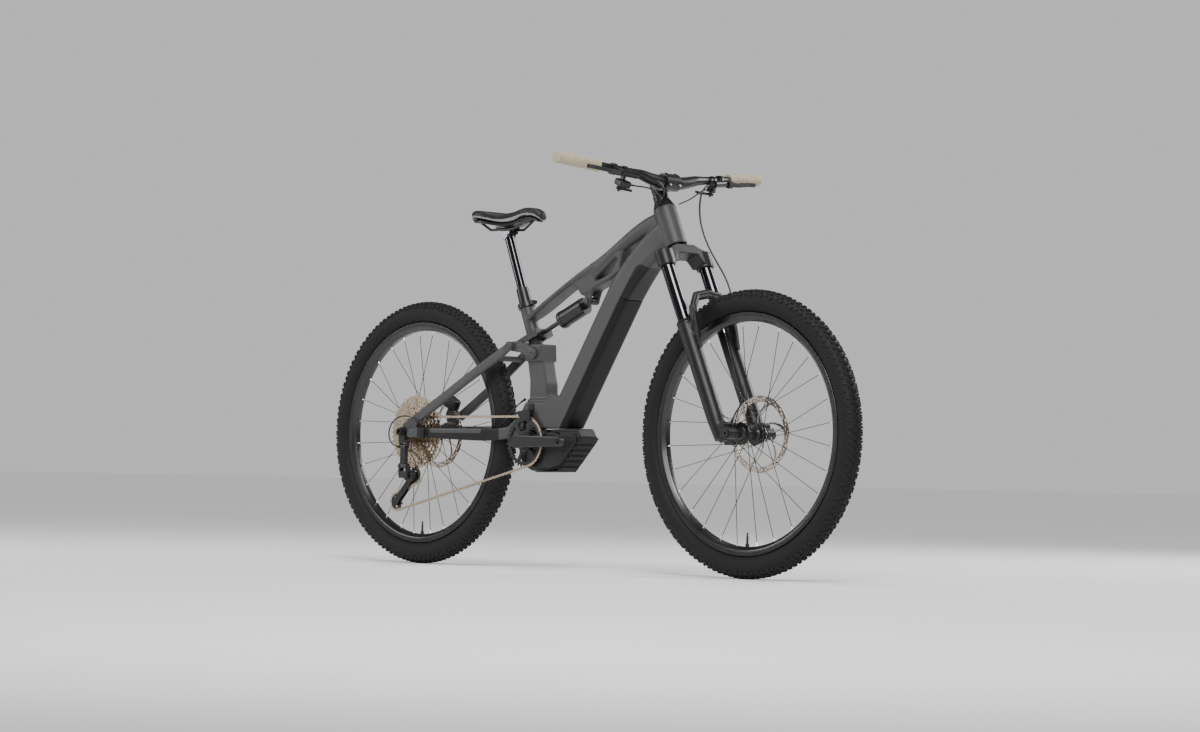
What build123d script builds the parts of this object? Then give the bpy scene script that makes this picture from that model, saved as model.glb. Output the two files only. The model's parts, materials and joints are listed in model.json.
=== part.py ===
from build123d import *
import os
from math import acos, atan2, cos, degrees, hypot, pi, radians, sin, sqrt, tan

# Electric full-suspension mountain bike, standing upright with straight bars.
# Millimetres. +X forward, +Y to the rider's left, +Z up.
# Origin: on the ground, midway between the axles, on the centre plane.
# Side-view places are (forward of the rear axle, above the axle line).

# ---------------------------------------------------------------- overall sizes
WHEELBASE = 1262.0
TYRE_R = 375.0              # over the knobs
TYRE_CASING_R = 29.0
KNOB_HEIGHT = 4.0
TREAD_FLAT = 26.0            # width of the tread that meets level ground
TYRE_WALL = 2.6
RIM_R = 315.0
RIM_DEPTH = 24.0
RIM_HALF_WIDTH = 17.0
RIM_WALL = 2.2
AXLE_Z = TYRE_R

# ---------------------------------------------------------------- clearances
RUN = 0.08                  # radial, a shaft turning or sliding in its bore
GAP = 0.4                   # between faces of pieces that move past each other
SEAT = 0.05                 # between pieces that sit on each other

# ---------------------------------------------------------------- steering and fork
HEAD_ANGLE = 65.5
FORK_OFFSET = 44.0
AXLE_TO_CROWN = 564.0
FORK_TRAVEL = 150.0
LEG_Y = 73.0
LEG_FORWARD = 12.0          # stanchion axis ahead of the steering axis
STANCHION_R = 17.5
LOWER_R = 22.5
CROWN_TOP, CROWN_BOTTOM = -25.0, -68.0
EXPOSED_STANCHION = 166.0
HEAD_TUBE_LENGTH = 114.5
HEAD_TUBE_R = 31.0
STEERER_R = 14.3
SPACER_STACK = 36.0
STEM_HEIGHT = 40.0
STEM_REACH = 42.0
FRONT_DROPOUT_HALF = 55.0
FRONT_AXLE_R = 7.5

# ---------------------------------------------------------------- handlebar
BAR_HALF = 385.0
BAR_R = 11.1
BAR_CLAMP_R = 17.5
BAR_CLAMP_HALF = 38.0
BAR_END_BACK, BAR_END_UP = 37.0, 39.5
BAR_RISE_Y, BAR_RISE_FORWARD, BAR_RISE_UP = 110.0, 8.0, 10.0
TAPER_END_Y = 150.0
GRIP_LENGTH = 135.0
GRIP_R = 15.5

# ---------------------------------------------------------------- rear suspension
BB = (473.0, -25.0)
MAIN_PIVOT = (445.0, 25.0)
HORST_PIVOT = (34.0, -5.0)
LINK_PIVOT = (399.0, 239.0)      # rocker, seatstay and shock yoke meet here
ROCKER_PIVOT = (480.0, 218.0)
SHOCK_MOUNT = (673.0, 359.0)
MAIN_PIN_R = 8.0
ROCKER_PIN_R = 8.0
HORST_PIN_R = 6.0
SHOCK_BOLT_R = 5.0
FRAME_PIVOT_HALF = 32.0          # half width of the frame at its pivots
YOKE_ARM = (22.0, 31.0)          # from and to, across the bike
ROCKER_ARM = (FRAME_PIVOT_HALF + GAP, 41.0)
STAY_END = (ROCKER_ARM[1] + GAP, 54.0)
REAR_DROPOUT_HALF = 74.0
DROPOUT_THICK = 5.0
REAR_AXLE_R = 6.0
SHOCK_CAN_R = 24.0
SHOCK_CAN_LENGTH = 95.0
SHOCK_SHAFT_R = 6.5

# ---------------------------------------------------------------- frame tubes
SEAT_ANGLE = 68.6
SEAT_TUBE_TOP = (412.0, 360.0)
SEAT_TUBE_R = 19.5
POST_OUTER_R = 15.8
POST_INNER_R = 13.5
POST_HEAD_ABOVE = 216.0          # saddle clamp above the seat tube, along the post
POST_COLLAR = 44.0
POST_INSERTION = 74.0
DROPPER_TRAVEL = 150.0
DOWN_TUBE_WIDTH = 84.0
DOWN_TUBE_DEPTH = 76.0
DOWN_TUBE_WALL = 3.5
COVER_DEPTH = 16.0
TOP_TUBE_WIDTH = 58.0

# ---------------------------------------------------------------- drive train
CHAIN_Y = -52.0
CHAIN_PITCH = 12.7
CHAIN_HEIGHT = 7.6
CHAIN_HALF = 2.45
RING_TEETH = 34
COGS = [10, 12, 14, 16, 18, 21, 24, 28, 33, 39, 45, 51]
COG_ON = 5                       # the cog that the chain lies on
COG_SPACING = 3.6
CRANK_LENGTH = 165.0
CRANK_INNER, CRANK_OUTER = 74.0, 88.0
SPINDLE_R = 12.0
PEDAL_BORE_R = 7.1
GUIDE_PULLEY = (18.0, -125.0)
TENSION_PULLEY = (-54.0, -200.0)
PULLEY_TEETH = 12
MOTOR_HALF = 42.0

# ---------------------------------------------------------------- brakes
ROTOR_R = 101.5
ROTOR_THICK = 1.8
CALIPER_WIDTH = 23.0
FRONT_CALIPER_TURN, REAR_CALIPER_TURN = 180.0, 62.0
FRONT_ROTOR_Y = 41.0
REAR_ROTOR_Y = 57.0
SPOKES_PER_SIDE = 14
SPOKE_R = 1.1
FLANGE_R = 29.0
FLANGE_HALF = 1.6


# ================================================================ helpers
def at(x, z, y=0.0):
    """A point from its place ahead of the rear axle and above the axle line."""
    return Vector(x - WHEELBASE / 2, y, AXLE_Z + z)


def rod(a, b, radius, radius_end=None):
    """A round bar, or a cone, from point a to point b."""
    a, b = Vector(a), Vector(b)
    plane = Plane(origin=a, z_dir=(b - a).normalized())
    low = (Align.CENTER, Align.CENTER, Align.MIN)
    length = (b - a).length
    if radius_end is None or radius_end == radius:
        return plane * Cylinder(radius, length, align=low)
    return plane * Cone(radius, radius_end, length, align=low)


def disc(place, radius, y0, y1):
    """A cylinder across the bike at a side-view place, from y0 to y1."""
    return rod(at(*place, min(y0, y1)), at(*place, max(y0, y1)), radius)


def plate(outline, y0, y1, radius=0.0):
    """A side-view outline with rounded corners, extruded across the bike."""
    points = [at(x, z, min(y0, y1)) for x, z in outline]
    if radius:
        wire = FilletPolyline(*points, radius=radius, close=True)
    else:
        wire = Polyline(*points, close=True)
    return extrude(make_face(wire), amount=abs(y1 - y0), dir=(0, 1, 0))


def both(shape):
    """The shape and its mirror image on the other side of the bike."""
    return [shape, mirror(shape, about=Plane.XZ)]


def joined(*shapes):
    """One solid (or a few) from overlapping shapes."""
    flat = []
    for shape in shapes:
        flat.extend(shape if isinstance(shape, (list, tuple)) else [shape])
    total = flat[0]
    for shape in flat[1:]:
        total = total + shape
    return total


def section(centre, along, width, height, corner):
    """A rounded rectangle across a tube: width across the bike, height in side view."""
    plane = Plane(origin=centre, x_dir=(0, 1, 0), z_dir=along)
    return plane * RectangleRounded(width, height, min(corner, width / 2.05, height / 2.05))


def tube_through(stations, ruled=False):
    """A loft through (x, z, y, width, height, corner, angle) stations in side view."""
    faces = []
    for x, z, y, width, height, corner, angle in stations:
        along = (cos(radians(angle)), 0, sin(radians(angle)))
        faces.append(section(at(x, z, y), along, width, height, corner))
    return loft(faces, ruled=ruled)


def ring_of(profile_faces, centre):
    """A profile drawn as (radius, y) and turned about an axle."""
    return Location(centre) * revolve(profile_faces, axis=Axis.Y)


def profile(points):
    """A closed (radius, y) outline on the plane through the axle."""
    return make_face(Polyline(*[(r, y, 0) for r, y in points], close=True))


# Steering frame: x ahead of the steering axis, y left, z up along it, from the
# bottom of the head tube.
STEER_UP = Vector(-cos(radians(HEAD_ANGLE)), 0, sin(radians(HEAD_ANGLE)))
STEER_AHEAD = Vector(sin(radians(HEAD_ANGLE)), 0, cos(radians(HEAD_ANGLE)))
FRONT_AXLE = at(WHEELBASE, 0)
HEAD_BOTTOM = FRONT_AXLE - STEER_AHEAD * FORK_OFFSET + STEER_UP * AXLE_TO_CROWN
STEER = Plane(origin=HEAD_BOTTOM, x_dir=STEER_AHEAD, z_dir=STEER_UP)


def steer(ahead, y, up):
    return HEAD_BOTTOM + STEER_AHEAD * ahead + Vector(0, y, 0) + STEER_UP * up


# Seat frame: z up along the seat post, from the top of the seat tube.
SEAT_UP = Vector(-cos(radians(SEAT_ANGLE)), 0, sin(radians(SEAT_ANGLE)))
SEAT_TOP = at(*SEAT_TUBE_TOP)


def seat(up, ahead=0.0, y=0.0):
    across = Vector(sin(radians(SEAT_ANGLE)), 0, cos(radians(SEAT_ANGLE)))
    return SEAT_TOP + SEAT_UP * up + across * ahead + Vector(0, y, 0)


REAR_AXLE = at(0, 0)


# ================================================================ wheels
def tyre(axle):
    centre_r = TYRE_R - KNOB_HEIGHT - TYRE_CASING_R
    casing = Pos(centre_r, 0) * (Circle(TYRE_CASING_R) - Circle(TYRE_CASING_R - TYRE_WALL))
    slot = Pos(centre_r - TYRE_CASING_R, 0) * Rectangle(4 * TYRE_WALL, 0.34 * TYRE_CASING_R)
    face = casing - slot
    for tilt, width in ((-60, 6), (-38, 7), (0, TREAD_FLAT), (38, 7), (60, 6)):
        sunk = TYRE_CASING_R - sqrt(TYRE_CASING_R ** 2 - width ** 2 / 4)
        depth = KNOB_HEIGHT + TYRE_WALL / 2 + sunk
        reach = TYRE_CASING_R + KNOB_HEIGHT - depth / 2
        block = Pos(centre_r, 0) * Rot(0, 0, tilt) * Pos(reach, 0) * Rectangle(depth, width)
        face = face + block
    return ring_of(face, axle)


def rim(axle):
    bed = TYRE_R - KNOB_HEIGHT - 2 * TYRE_CASING_R + 2 * SEAT
    inner = RIM_R - RIM_DEPTH
    side = RIM_HALF_WIDTH
    hook = side - 3.2
    outline = [
        (RIM_R, -side), (RIM_R, -hook), (bed, -hook), (bed, hook), (RIM_R, hook),
        (RIM_R, side), (inner + 0.45 * RIM_DEPTH, side), (inner, 8), (inner, -8),
        (inner + 0.45 * RIM_DEPTH, -side),
    ]
    w = RIM_WALL
    hollow = [
        (bed - w, -hook), (bed - w, hook), (inner + 0.45 * RIM_DEPTH, side - w),
        (inner + w, 8 - w / 2), (inner + w, w / 2 - 8), (inner + 0.45 * RIM_DEPTH, w - side),
    ]
    return ring_of(profile(outline) - profile(hollow), axle)


def spokes(axle, left_flange, right_flange):
    """Crossed spokes: each leaves its flange near a tangent and meets the rim at an even step."""
    pieces = []
    count = 2 * SPOKES_PER_SIDE
    rim_end = RIM_R - RIM_DEPTH - GAP
    hub_end = FLANGE_R - 1.0
    for index in range(count):
        rim_angle = 360.0 * (index + 0.5) / count
        side = 1 if index % 2 else -1
        flange = left_flange if side > 0 else right_flange
        leading = (index // 2) % 2
        lean = 68 if leading else -68
        face = 1 if leading else -1
        hub_angle = radians(rim_angle + lean)
        out = radians(rim_angle)
        y_hub = flange + side * face * (FLANGE_HALF + SPOKE_R + GAP)
        start = Vector(hub_end * cos(hub_angle), y_hub, hub_end * sin(hub_angle))
        end = Vector(rim_end * cos(out), side * 2.5, rim_end * sin(out))
        pieces.append(rod(start + axle, end + axle, SPOKE_R))
    return pieces


def hub(axle, left, right, left_flange, right_flange, bore_r, barrel_r, ends_r):
    """A turned hub shell with two spoke flanges, bored for its axle."""
    f = FLANGE_HALF
    outline = [
        (bore_r, right), (ends_r, right), (ends_r, right_flange - f), (FLANGE_R, right_flange - f),
        (FLANGE_R, right_flange + f), (barrel_r, right_flange + f + 3), (barrel_r, left_flange - f - 3),
        (FLANGE_R, left_flange - f), (FLANGE_R, left_flange + f), (ends_r, left_flange + f),
        (ends_r, left), (bore_r, left),
    ]
    return ring_of(profile(outline), axle)


def rotor(axle, y, core_bore):
    """A brake disc: braking band, six swept arms and a centre carrier."""
    t = ROTOR_THICK / 2
    band = ring_of(profile([(85, -t), (ROTOR_R, -t), (ROTOR_R, t), (85, t)]), Vector(0, 0, 0))
    core_r = core_bore + 7
    core = ring_of(profile([(core_bore, -t), (core_r, -t), (core_r, t), (core_bore, t)]), Vector(0, 0, 0))
    disc_part = band + core
    for step in range(6):
        turn = 60.0 * step
        bar = Rot(0, 14, 0) * Box(85 - core_r + 6, 2 * t, 7)
        arm = Rot(0, turn, 0) * Pos((core_r + 85) / 2, 0, 0) * bar
        disc_part = disc_part + arm
    for step in range(36):
        turn = radians(10.0 * step)
        r = 90 + 3.5 * (step % 3)
        hole = Pos(r * cos(turn), 0, r * sin(turn)) * Rot(90, 0, 0) * Cylinder(2.6, 4 * t)
        disc_part = disc_part - hole
    return Location(axle + Vector(0, y, 0)) * disc_part


FRONT_HUB_END = FRONT_DROPOUT_HALF - GAP
REAR_HUB_END = REAR_DROPOUT_HALF - GAP
FRONT_FLANGES = (24.0, -30.0)
REAR_FLANGES = (33.0, -23.5)
FRONT_BARREL_R = 13.0
REAR_BARREL_R = 15.0


def caliper(axle, rotor_y, turn, reach, tall):
    """A brake caliper body over the rotor, with its two pads."""
    radial = Vector(cos(radians(turn)), 0, sin(radians(turn)))
    plane = Plane(origin=axle + radial * reach + Vector(0, rotor_y, 0), x_dir=radial, z_dir=(0, 1, 0))
    body = Box(tall, 58, CALIPER_WIDTH)
    body = fillet(body.edges().filter_by(Axis.Z), 6)
    body = body - Pos(-6, 0, 0) * Box(tall, 60, 7)
    pad = Pos(-9, 0, 0) * Box(18, 30, 2)
    pads = [Pos(0, 0, side * (ROTOR_THICK / 2 + 0.35 + 1)) * pad for side in (-1, 1)]
    return [plane * body] + [plane * p for p in pads]


# ================================================================ fork
def fork_crown():
    """Crown and steerer in one: it turns in the head tube and holds the stanchions."""
    clamp_h = CROWN_TOP - CROWN_BOTTOM
    clamp_r = STANCHION_R + 6.5
    clamps = [
        Pos(LEG_FORWARD, s * LEG_Y, (CROWN_TOP + CROWN_BOTTOM) / 2) * Cylinder(clamp_r, clamp_h)
        for s in (-1, 1)
    ]
    under = -34.0
    outline = [
        (-LEG_Y, CROWN_TOP), (-34, -7), (34, -7), (LEG_Y, CROWN_TOP), (LEG_Y, -60), (50, -60),
        (37, under), (-37, under), (-50, -60), (-LEG_Y, -60),
    ]
    face = make_face(FilletPolyline(*[(-13, y, z) for y, z in outline], radius=5, close=True))
    bridge = extrude(face, amount=LEG_FORWARD + 13 + 20, dir=(1, 0, 0))
    boss = Pos(0, 0, -17) * Cylinder(26, 2 * (17 - 3))
    race = Pos(0, 0, -2) * Cylinder(24, 2.4)
    top = HEAD_TUBE_LENGTH + SPACER_STACK + STEM_HEIGHT - 3
    steerer = Pos(0, 0, (top - 10) / 2) * Cylinder(STEERER_R, top + 10)
    taper = Pos(0, 0, 9) * Cone(19.5, STEERER_R, 20)
    solid = joined(bridge, clamps, boss, race, steerer, taper)
    for s in (-1, 1):
        bore = Pos(LEG_FORWARD, s * LEG_Y, CROWN_BOTTOM - 1)
        depth = clamp_h - 3
        upward = (Align.CENTER, Align.CENTER, Align.MIN)
        solid = solid - bore * Cylinder(STANCHION_R, depth + 1, align=upward)
    solid = solid - Pos(0, 0, top / 2 + 2) * Cylinder(STEERER_R - 2.2, top)
    return STEER * solid


STANCHION_TOP = CROWN_TOP - 3.0
LOWERS_TOP = CROWN_BOTTOM - EXPOSED_STANCHION
STANCHION_END = LOWERS_TOP - 112.0
BORE_END = STANCHION_END - FORK_TRAVEL - 12.0


def fork_stanchions():
    legs = []
    length = STANCHION_TOP - STANCHION_END
    for s in (-1, 1):
        tube = Cylinder(STANCHION_R, length) - Cylinder(STANCHION_R - 2.5, length - 5)
        legs.append(STEER * (Pos(LEG_FORWARD, s * LEG_Y, (STANCHION_TOP + STANCHION_END) / 2) * tube))
    return legs


def fork_lowers():
    """Both lower legs with their wipers, the arch ahead of them and the axle dropouts."""
    foot = -AXLE_TO_CROWN - 2
    seal_top = LOWERS_TOP
    solids = []
    for s in (-1, 1):
        leg = rod((LEG_FORWARD, s * LEG_Y, foot + 60), (LEG_FORWARD, s * LEG_Y, seal_top), LOWER_R)
        shank = rod(
            (LEG_FORWARD, s * LEG_Y, foot), (LEG_FORWARD, s * LEG_Y, foot + 60), LOWER_R - 4, LOWER_R)
        wiper = rod((LEG_FORWARD, s * LEG_Y, seal_top - 6), (LEG_FORWARD, s * LEG_Y, seal_top), LOWER_R + 1)
        inner = FRONT_DROPOUT_HALF
        outer = LEG_Y + LOWER_R - 6
        drop = rod((FORK_OFFSET, s * inner, -AXLE_TO_CROWN), (FORK_OFFSET, s * outer, -AXLE_TO_CROWN), 15)
        web = Pos((LEG_FORWARD + FORK_OFFSET) / 2, s * (inner + outer) / 2, -AXLE_TO_CROWN + 14)
        web = web * Rot(0, 38, 0) * Box(20, outer - inner, 46)
        solids.append(joined(leg, shank, wiper, drop, web))
    arch_points = [
        (LEG_FORWARD + 18, LEG_Y, seal_top - 34), (LEG_FORWARD + 34, LEG_Y, seal_top - 8),
        (LEG_FORWARD + 39, LEG_Y - 6, seal_top + 34), (FORK_OFFSET + 9, 46, seal_top + 64),
        (FORK_OFFSET + 10, 0, seal_top + 72),
    ]
    mirrored = [(x, -y, z) for x, y, z in reversed(arch_points[:-1])]
    route = arch_points + mirrored
    arch = []
    for a, b in zip(route, route[1:]):
        arch += [rod(a, b, 9), Pos(*b) * Sphere(9)]
        low_a, low_b = ((x - 1, y, z - 9) for x, y, z in (a, b))
        arch += [rod(low_a, low_b, 7.5), Pos(*low_b) * Sphere(7.5)]
    caliper_face = FRONT_ROTOR_Y + CALIPER_WIDTH / 2 + 0.2
    post = Pos(LEG_FORWARD - 36, caliper_face + 3.6, -AXLE_TO_CROWN + 41) * Box(76, 7.2, 26)
    solid = joined(solids, arch, post)
    for s in (-1, 1):
        solid = solid - rod((LEG_FORWARD, s * LEG_Y, BORE_END), (LEG_FORWARD, s * LEG_Y, seal_top + 1),
                            STANCHION_R + RUN)
    axle = rod((FORK_OFFSET, -120, -AXLE_TO_CROWN), (FORK_OFFSET, 120, -AXLE_TO_CROWN), FRONT_AXLE_R)
    return STEER * (solid - axle)


def front_axle():
    """Through axle with a hex-socket head on the right."""
    far = LEG_Y + LOWER_R - 6
    shaft = rod((FORK_OFFSET, -far, -AXLE_TO_CROWN), (FORK_OFFSET, far - 3, -AXLE_TO_CROWN), FRONT_AXLE_R)
    head = rod(
        (FORK_OFFSET, -far - 3, -AXLE_TO_CROWN), (FORK_OFFSET, -far, -AXLE_TO_CROWN), FRONT_AXLE_R + 3)
    solid = shaft + head
    socket = rod((FORK_OFFSET, -far - 4, -AXLE_TO_CROWN), (FORK_OFFSET, -far + 5, -AXLE_TO_CROWN), 3)
    return STEER * (solid - socket)


def fork_caps():
    """Damper adjuster on the right leg's top and air cap on the left's."""
    top = CROWN_TOP
    right = rod((LEG_FORWARD, -LEG_Y, top + SEAT), (LEG_FORWARD, -LEG_Y, top + 8), 13, 11)
    left = rod((LEG_FORWARD, LEG_Y, top + SEAT), (LEG_FORWARD, LEG_Y, top + 6), 14, 13)
    return [STEER * right, STEER * left]


def rebound_knob():
    foot = -AXLE_TO_CROWN - 2 - SEAT
    return STEER * rod((LEG_FORWARD, -LEG_Y, foot - 8), (LEG_FORWARD, -LEG_Y, foot), 8.5, 9.5)


def headset():
    """Upper and lower bearing cups, pressed in the head tube around the steerer."""
    lower = rod((0, 0, 0.3), (0, 0, 14), 26) - rod((0, 0, -1), (0, 0, 20), 20)
    upper = rod((0, 0, HEAD_TUBE_LENGTH - 12), (0, 0, HEAD_TUBE_LENGTH), 25)
    upper = upper - rod((0, 0, HEAD_TUBE_LENGTH - 13), (0, 0, HEAD_TUBE_LENGTH + 1), STEERER_R + RUN)
    return [STEER * lower, STEER * upper]


SPACER_BASE = HEAD_TUBE_LENGTH + GAP
STEM_BASE = SPACER_BASE + SPACER_STACK
STEM_MID = STEM_BASE + STEM_HEIGHT / 2


def headset_spacers():
    """Tapered top cover and two rings between the head tube and the stem."""
    pieces = []
    heights = (20.0, 8.0, SPACER_STACK - 28.0)
    radii = ((HEAD_TUBE_R - 1, 22.0), (21.0, 21.0), (21.0, 21.0))
    low = SPACER_BASE
    for height, (r0, r1) in zip(heights, radii):
        ring = rod((0, 0, low), (0, 0, low + height - SEAT), r0, r1)
        pieces.append(STEER * (ring - rod((0, 0, low - 1), (0, 0, low + height + 1), STEERER_R)))
        low += height
    return pieces


def stem():
    """Short stem: steerer clamp, body and the rear half of the bar clamp, with its top cap."""
    clamp = rod((0, 0, STEM_BASE), (0, 0, STEM_BASE + STEM_HEIGHT), STEERER_R + 5)
    body = Pos(STEM_REACH / 2, 0, STEM_MID) * Box(STEM_REACH, 46, 30)
    body = fillet(body.edges().filter_by(Axis.X), 8)
    saddle = rod((STEM_REACH, -26, STEM_MID), (STEM_REACH, 26, STEM_MID), BAR_CLAMP_R + 6)
    solid = joined(clamp, body, saddle)
    solid = solid - rod((STEM_REACH, -40, STEM_MID), (STEM_REACH, 40, STEM_MID), BAR_CLAMP_R)
    solid = solid - rod((0, 0, STEM_BASE - 1), (0, 0, STEM_BASE + STEM_HEIGHT + 1), STEERER_R)
    solid = solid - Pos(STEM_REACH + 20.5, 0, STEM_MID) * Box(40, 60, 60)
    cap = rod((0, 0, STEM_BASE + STEM_HEIGHT + SEAT), (0, 0, STEM_BASE + STEM_HEIGHT + 4), STEERER_R + 4)
    return [STEER * solid, STEER * cap]


def stem_faceplate():
    """Front half of the bar clamp with four bolts."""
    ring = rod((STEM_REACH, -26, STEM_MID), (STEM_REACH, 26, STEM_MID), BAR_CLAMP_R + 6)
    ring = ring - rod((STEM_REACH, -40, STEM_MID), (STEM_REACH, 40, STEM_MID), BAR_CLAMP_R)
    ring = ring - Pos(STEM_REACH - 29, 0, STEM_MID) * Box(60, 60, 60)
    plates = [STEER * ring]
    for y in (-18, 18):
        for up in (-1, 1):
            start = (STEM_REACH + 14.5, y, STEM_MID + up * 18)
            end = (STEM_REACH + 19, y, STEM_MID + up * 18)
            plates.append(STEER * rod(start, end, 3.6))
    return plates


# ================================================================ handlebar and controls
BAR_CENTRE = steer(STEM_REACH, 0, STEM_MID)


def bar_point(y):
    """A point on the bar's centre line, y to the left of the stem (or right if negative)."""
    side = 1 if y > 0 else -1
    out = abs(y)
    rise = BAR_CENTRE + Vector(BAR_RISE_FORWARD, BAR_RISE_Y, BAR_RISE_UP)
    tip = BAR_CENTRE + Vector(-BAR_END_BACK, BAR_HALF, BAR_END_UP)
    share = (out - BAR_RISE_Y) / (BAR_HALF - BAR_RISE_Y)
    point = rise + (tip - rise) * share
    return Vector(point.X, side * point.Y, point.Z)


def handlebar():
    half = Vector(0, BAR_CLAMP_HALF, 0)
    shapes = [rod(BAR_CENTRE - half, BAR_CENTRE + half, BAR_CLAMP_R)]
    for s in (-1, 1):
        inner = BAR_CENTRE + Vector(0, s * (BAR_CLAMP_HALF - 3), 0)
        bend = bar_point(s * BAR_RISE_Y)
        tip = bar_point(s * (BAR_HALF - 4))
        shapes += [rod(inner, bend, BAR_CLAMP_R - 0.3, BAR_R + 1.5), Location(bend) * Sphere(BAR_R + 1.5)]
        shapes += [rod(bend, bar_point(s * TAPER_END_Y), BAR_R + 1.5, BAR_R)]
        shapes += [rod(bar_point(s * (TAPER_END_Y - 2)), tip, BAR_R)]
    return joined(shapes)


def grips():
    """Ribbed rubber grips with a flange inside and a closed end."""
    pieces = []
    for s in (-1, 1):
        inner, outer = BAR_HALF - GRIP_LENGTH, BAR_HALF
        a, b = bar_point(s * inner), bar_point(s * outer)
        body = rod(a, b, GRIP_R)
        body = body + rod(a, bar_point(s * (inner + 6)), GRIP_R + 2)
        body = body + rod(bar_point(s * (outer - 7)), b, GRIP_R + 1.5)
        for step in range(9):
            start = inner + 14 + step * 12.5
            band = rod(bar_point(s * start), bar_point(s * (start + 8)), GRIP_R + 0.9)
            body = body + band
        body = body - rod(bar_point(s * (inner - 2)), bar_point(s * (outer - 4)), BAR_R)
        pieces.append(body)
    return pieces


def bar_frame(y):
    """Local frame on the bar: z outward along it, x ahead, y up (left) or down (right)."""
    side = 1 if y > 0 else -1
    outward = (bar_point(side * (abs(y) + 10)) - bar_point(y)).normalized()
    return Plane(origin=bar_point(y), x_dir=Vector(1, 0, -0.35) - outward * Vector(1, 0, -0.35).dot(outward),
                 z_dir=outward)


def up_sign(y):
    """+1 where the local y of a bar frame points up, -1 where it points down."""
    return 1 if bar_frame(y).y_dir.Z > 0 else -1


LEVER_PIVOT_Y = 196.0            # along the bar's width
LEVER_PIVOT_AHEAD = 33.0
LEVER_LENGTH = 118.0
MASTER_R = 9.5


def brake_masters():
    """Both brake master cylinders with their clamp rings and reservoirs."""
    pieces = []
    for s in (-1, 1):
        frame = bar_frame(s * LEVER_PIVOT_Y)
        ring = Pos(0, 0, 8) * (Cylinder(BAR_R + 4.5, 13) - Cylinder(BAR_R, 14))
        neck = Pos(BAR_R + 7, 0, 8) * Box(12, 12, 13)
        body = Pos(BAR_R + 15, 0, -18) * Cylinder(MASTER_R, 70)
        nose = Pos(BAR_R + 15, 0, -58) * Cylinder(4.5, 12)
        solid = joined(ring, neck, body, nose)
        solid = solid - Pos(0, 0, 8) * Cylinder(BAR_R, 20)
        slot = Pos(LEVER_PIVOT_AHEAD, 0, 12) * Box(26, 10 + 2 * GAP, 26)
        ears = Pos(LEVER_PIVOT_AHEAD - 4, 0, 10) * Box(22, 18, 18)
        solid = (solid + ears) - slot
        pin = Pos(LEVER_PIVOT_AHEAD, 0, 12) * Rot(90, 0, 0) * Cylinder(3.5, 18)
        pieces.append(frame * joined(solid, pin))
    return pieces


def brake_lever(s):
    """A curved two-finger lever blade on its pin, ahead of the grip."""
    frame = bar_frame(s * LEVER_PIVOT_Y)
    points = [
        (LEVER_PIVOT_AHEAD - 6, 0, 4), (LEVER_PIVOT_AHEAD + 6, 0, 4), (LEVER_PIVOT_AHEAD + 14, 0, 40),
        (LEVER_PIVOT_AHEAD + 11, 0, LEVER_LENGTH - 24), (LEVER_PIVOT_AHEAD + 16, 0, LEVER_LENGTH),
        (LEVER_PIVOT_AHEAD + 8, 0, LEVER_LENGTH), (LEVER_PIVOT_AHEAD + 3, 0, LEVER_LENGTH - 28),
        (LEVER_PIVOT_AHEAD + 5, 0, 44), (LEVER_PIVOT_AHEAD - 6, 0, 20),
    ]
    face = make_face(FilletPolyline(*points, radius=2.2, close=True))
    blade = extrude(face, amount=5, both=True)
    eye = Pos(LEVER_PIVOT_AHEAD, 0, 12) * Rot(90, 0, 0) * Cylinder(3.5 + RUN, 30)
    return frame * (blade - eye)


POD_Y = 168.0


def shifter_pod():
    """Right-hand shifter pod hanging below the bar, inboard of the brake."""
    frame = bar_frame(-POD_Y)
    down = -up_sign(-POD_Y)
    ring = Cylinder(BAR_R + 3.5, 9) - Cylinder(BAR_R, 10)
    neck = Pos(4, down * 17, 0) * Box(12, 12, 9)
    pod = Pos(10, down * 30, 0) * Box(36, 18, 34)
    pod = fillet(pod.edges(), 5)
    solid = joined(ring, neck, pod) - Cylinder(BAR_R, 12)
    axle = Pos(6, down * (39 + 7), 4) * Rot(90, 0, 0) * Cylinder(3.5, 16)
    return frame * joined(solid, axle)


SHIFT_AXLE = (6.0, 46.0, 4.0)    # on the pod: ahead, below, outward


def shift_lever(level, turn, length):
    """A thumb paddle stacked on the pod's axle."""
    frame = bar_frame(-POD_Y)
    down = -up_sign(-POD_Y)
    ahead, below, outward = SHIFT_AXLE
    y = down * (below - 3.4 + 4.6 * level)
    hub_disc = Pos(ahead, y, outward) * Rot(90, 0, 0) * Cylinder(8, 3.6)
    reach = Pos(ahead, y, outward) * Rot(0, turn, 0) * Pos(length / 2, 0, 0) * Box(length, 3.6, 9)
    tip = Pos(ahead, y, outward) * Rot(0, turn, 0) * Pos(length, 0, 0) * Box(9, 3.6, 18)
    bore = Pos(ahead, y, outward) * Rot(90, 0, 0) * Cylinder(3.5 + RUN, 8)
    return frame * (joined(hub_disc, reach, tip) - bore)


def dropper_remote():
    """Left-hand seat-post remote body below the bar."""
    frame = bar_frame(POD_Y)
    down = -up_sign(POD_Y)
    ring = Cylinder(BAR_R + 3.5, 9) - Cylinder(BAR_R, 10)
    body = Pos(6, down * 20, -2) * Box(20, 16, 14)
    axle = Pos(6, down * 34, -2) * Rot(90, 0, 0) * Cylinder(3.5, 14)
    return frame * (joined(ring, body, axle) - Cylinder(BAR_R, 12))


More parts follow.
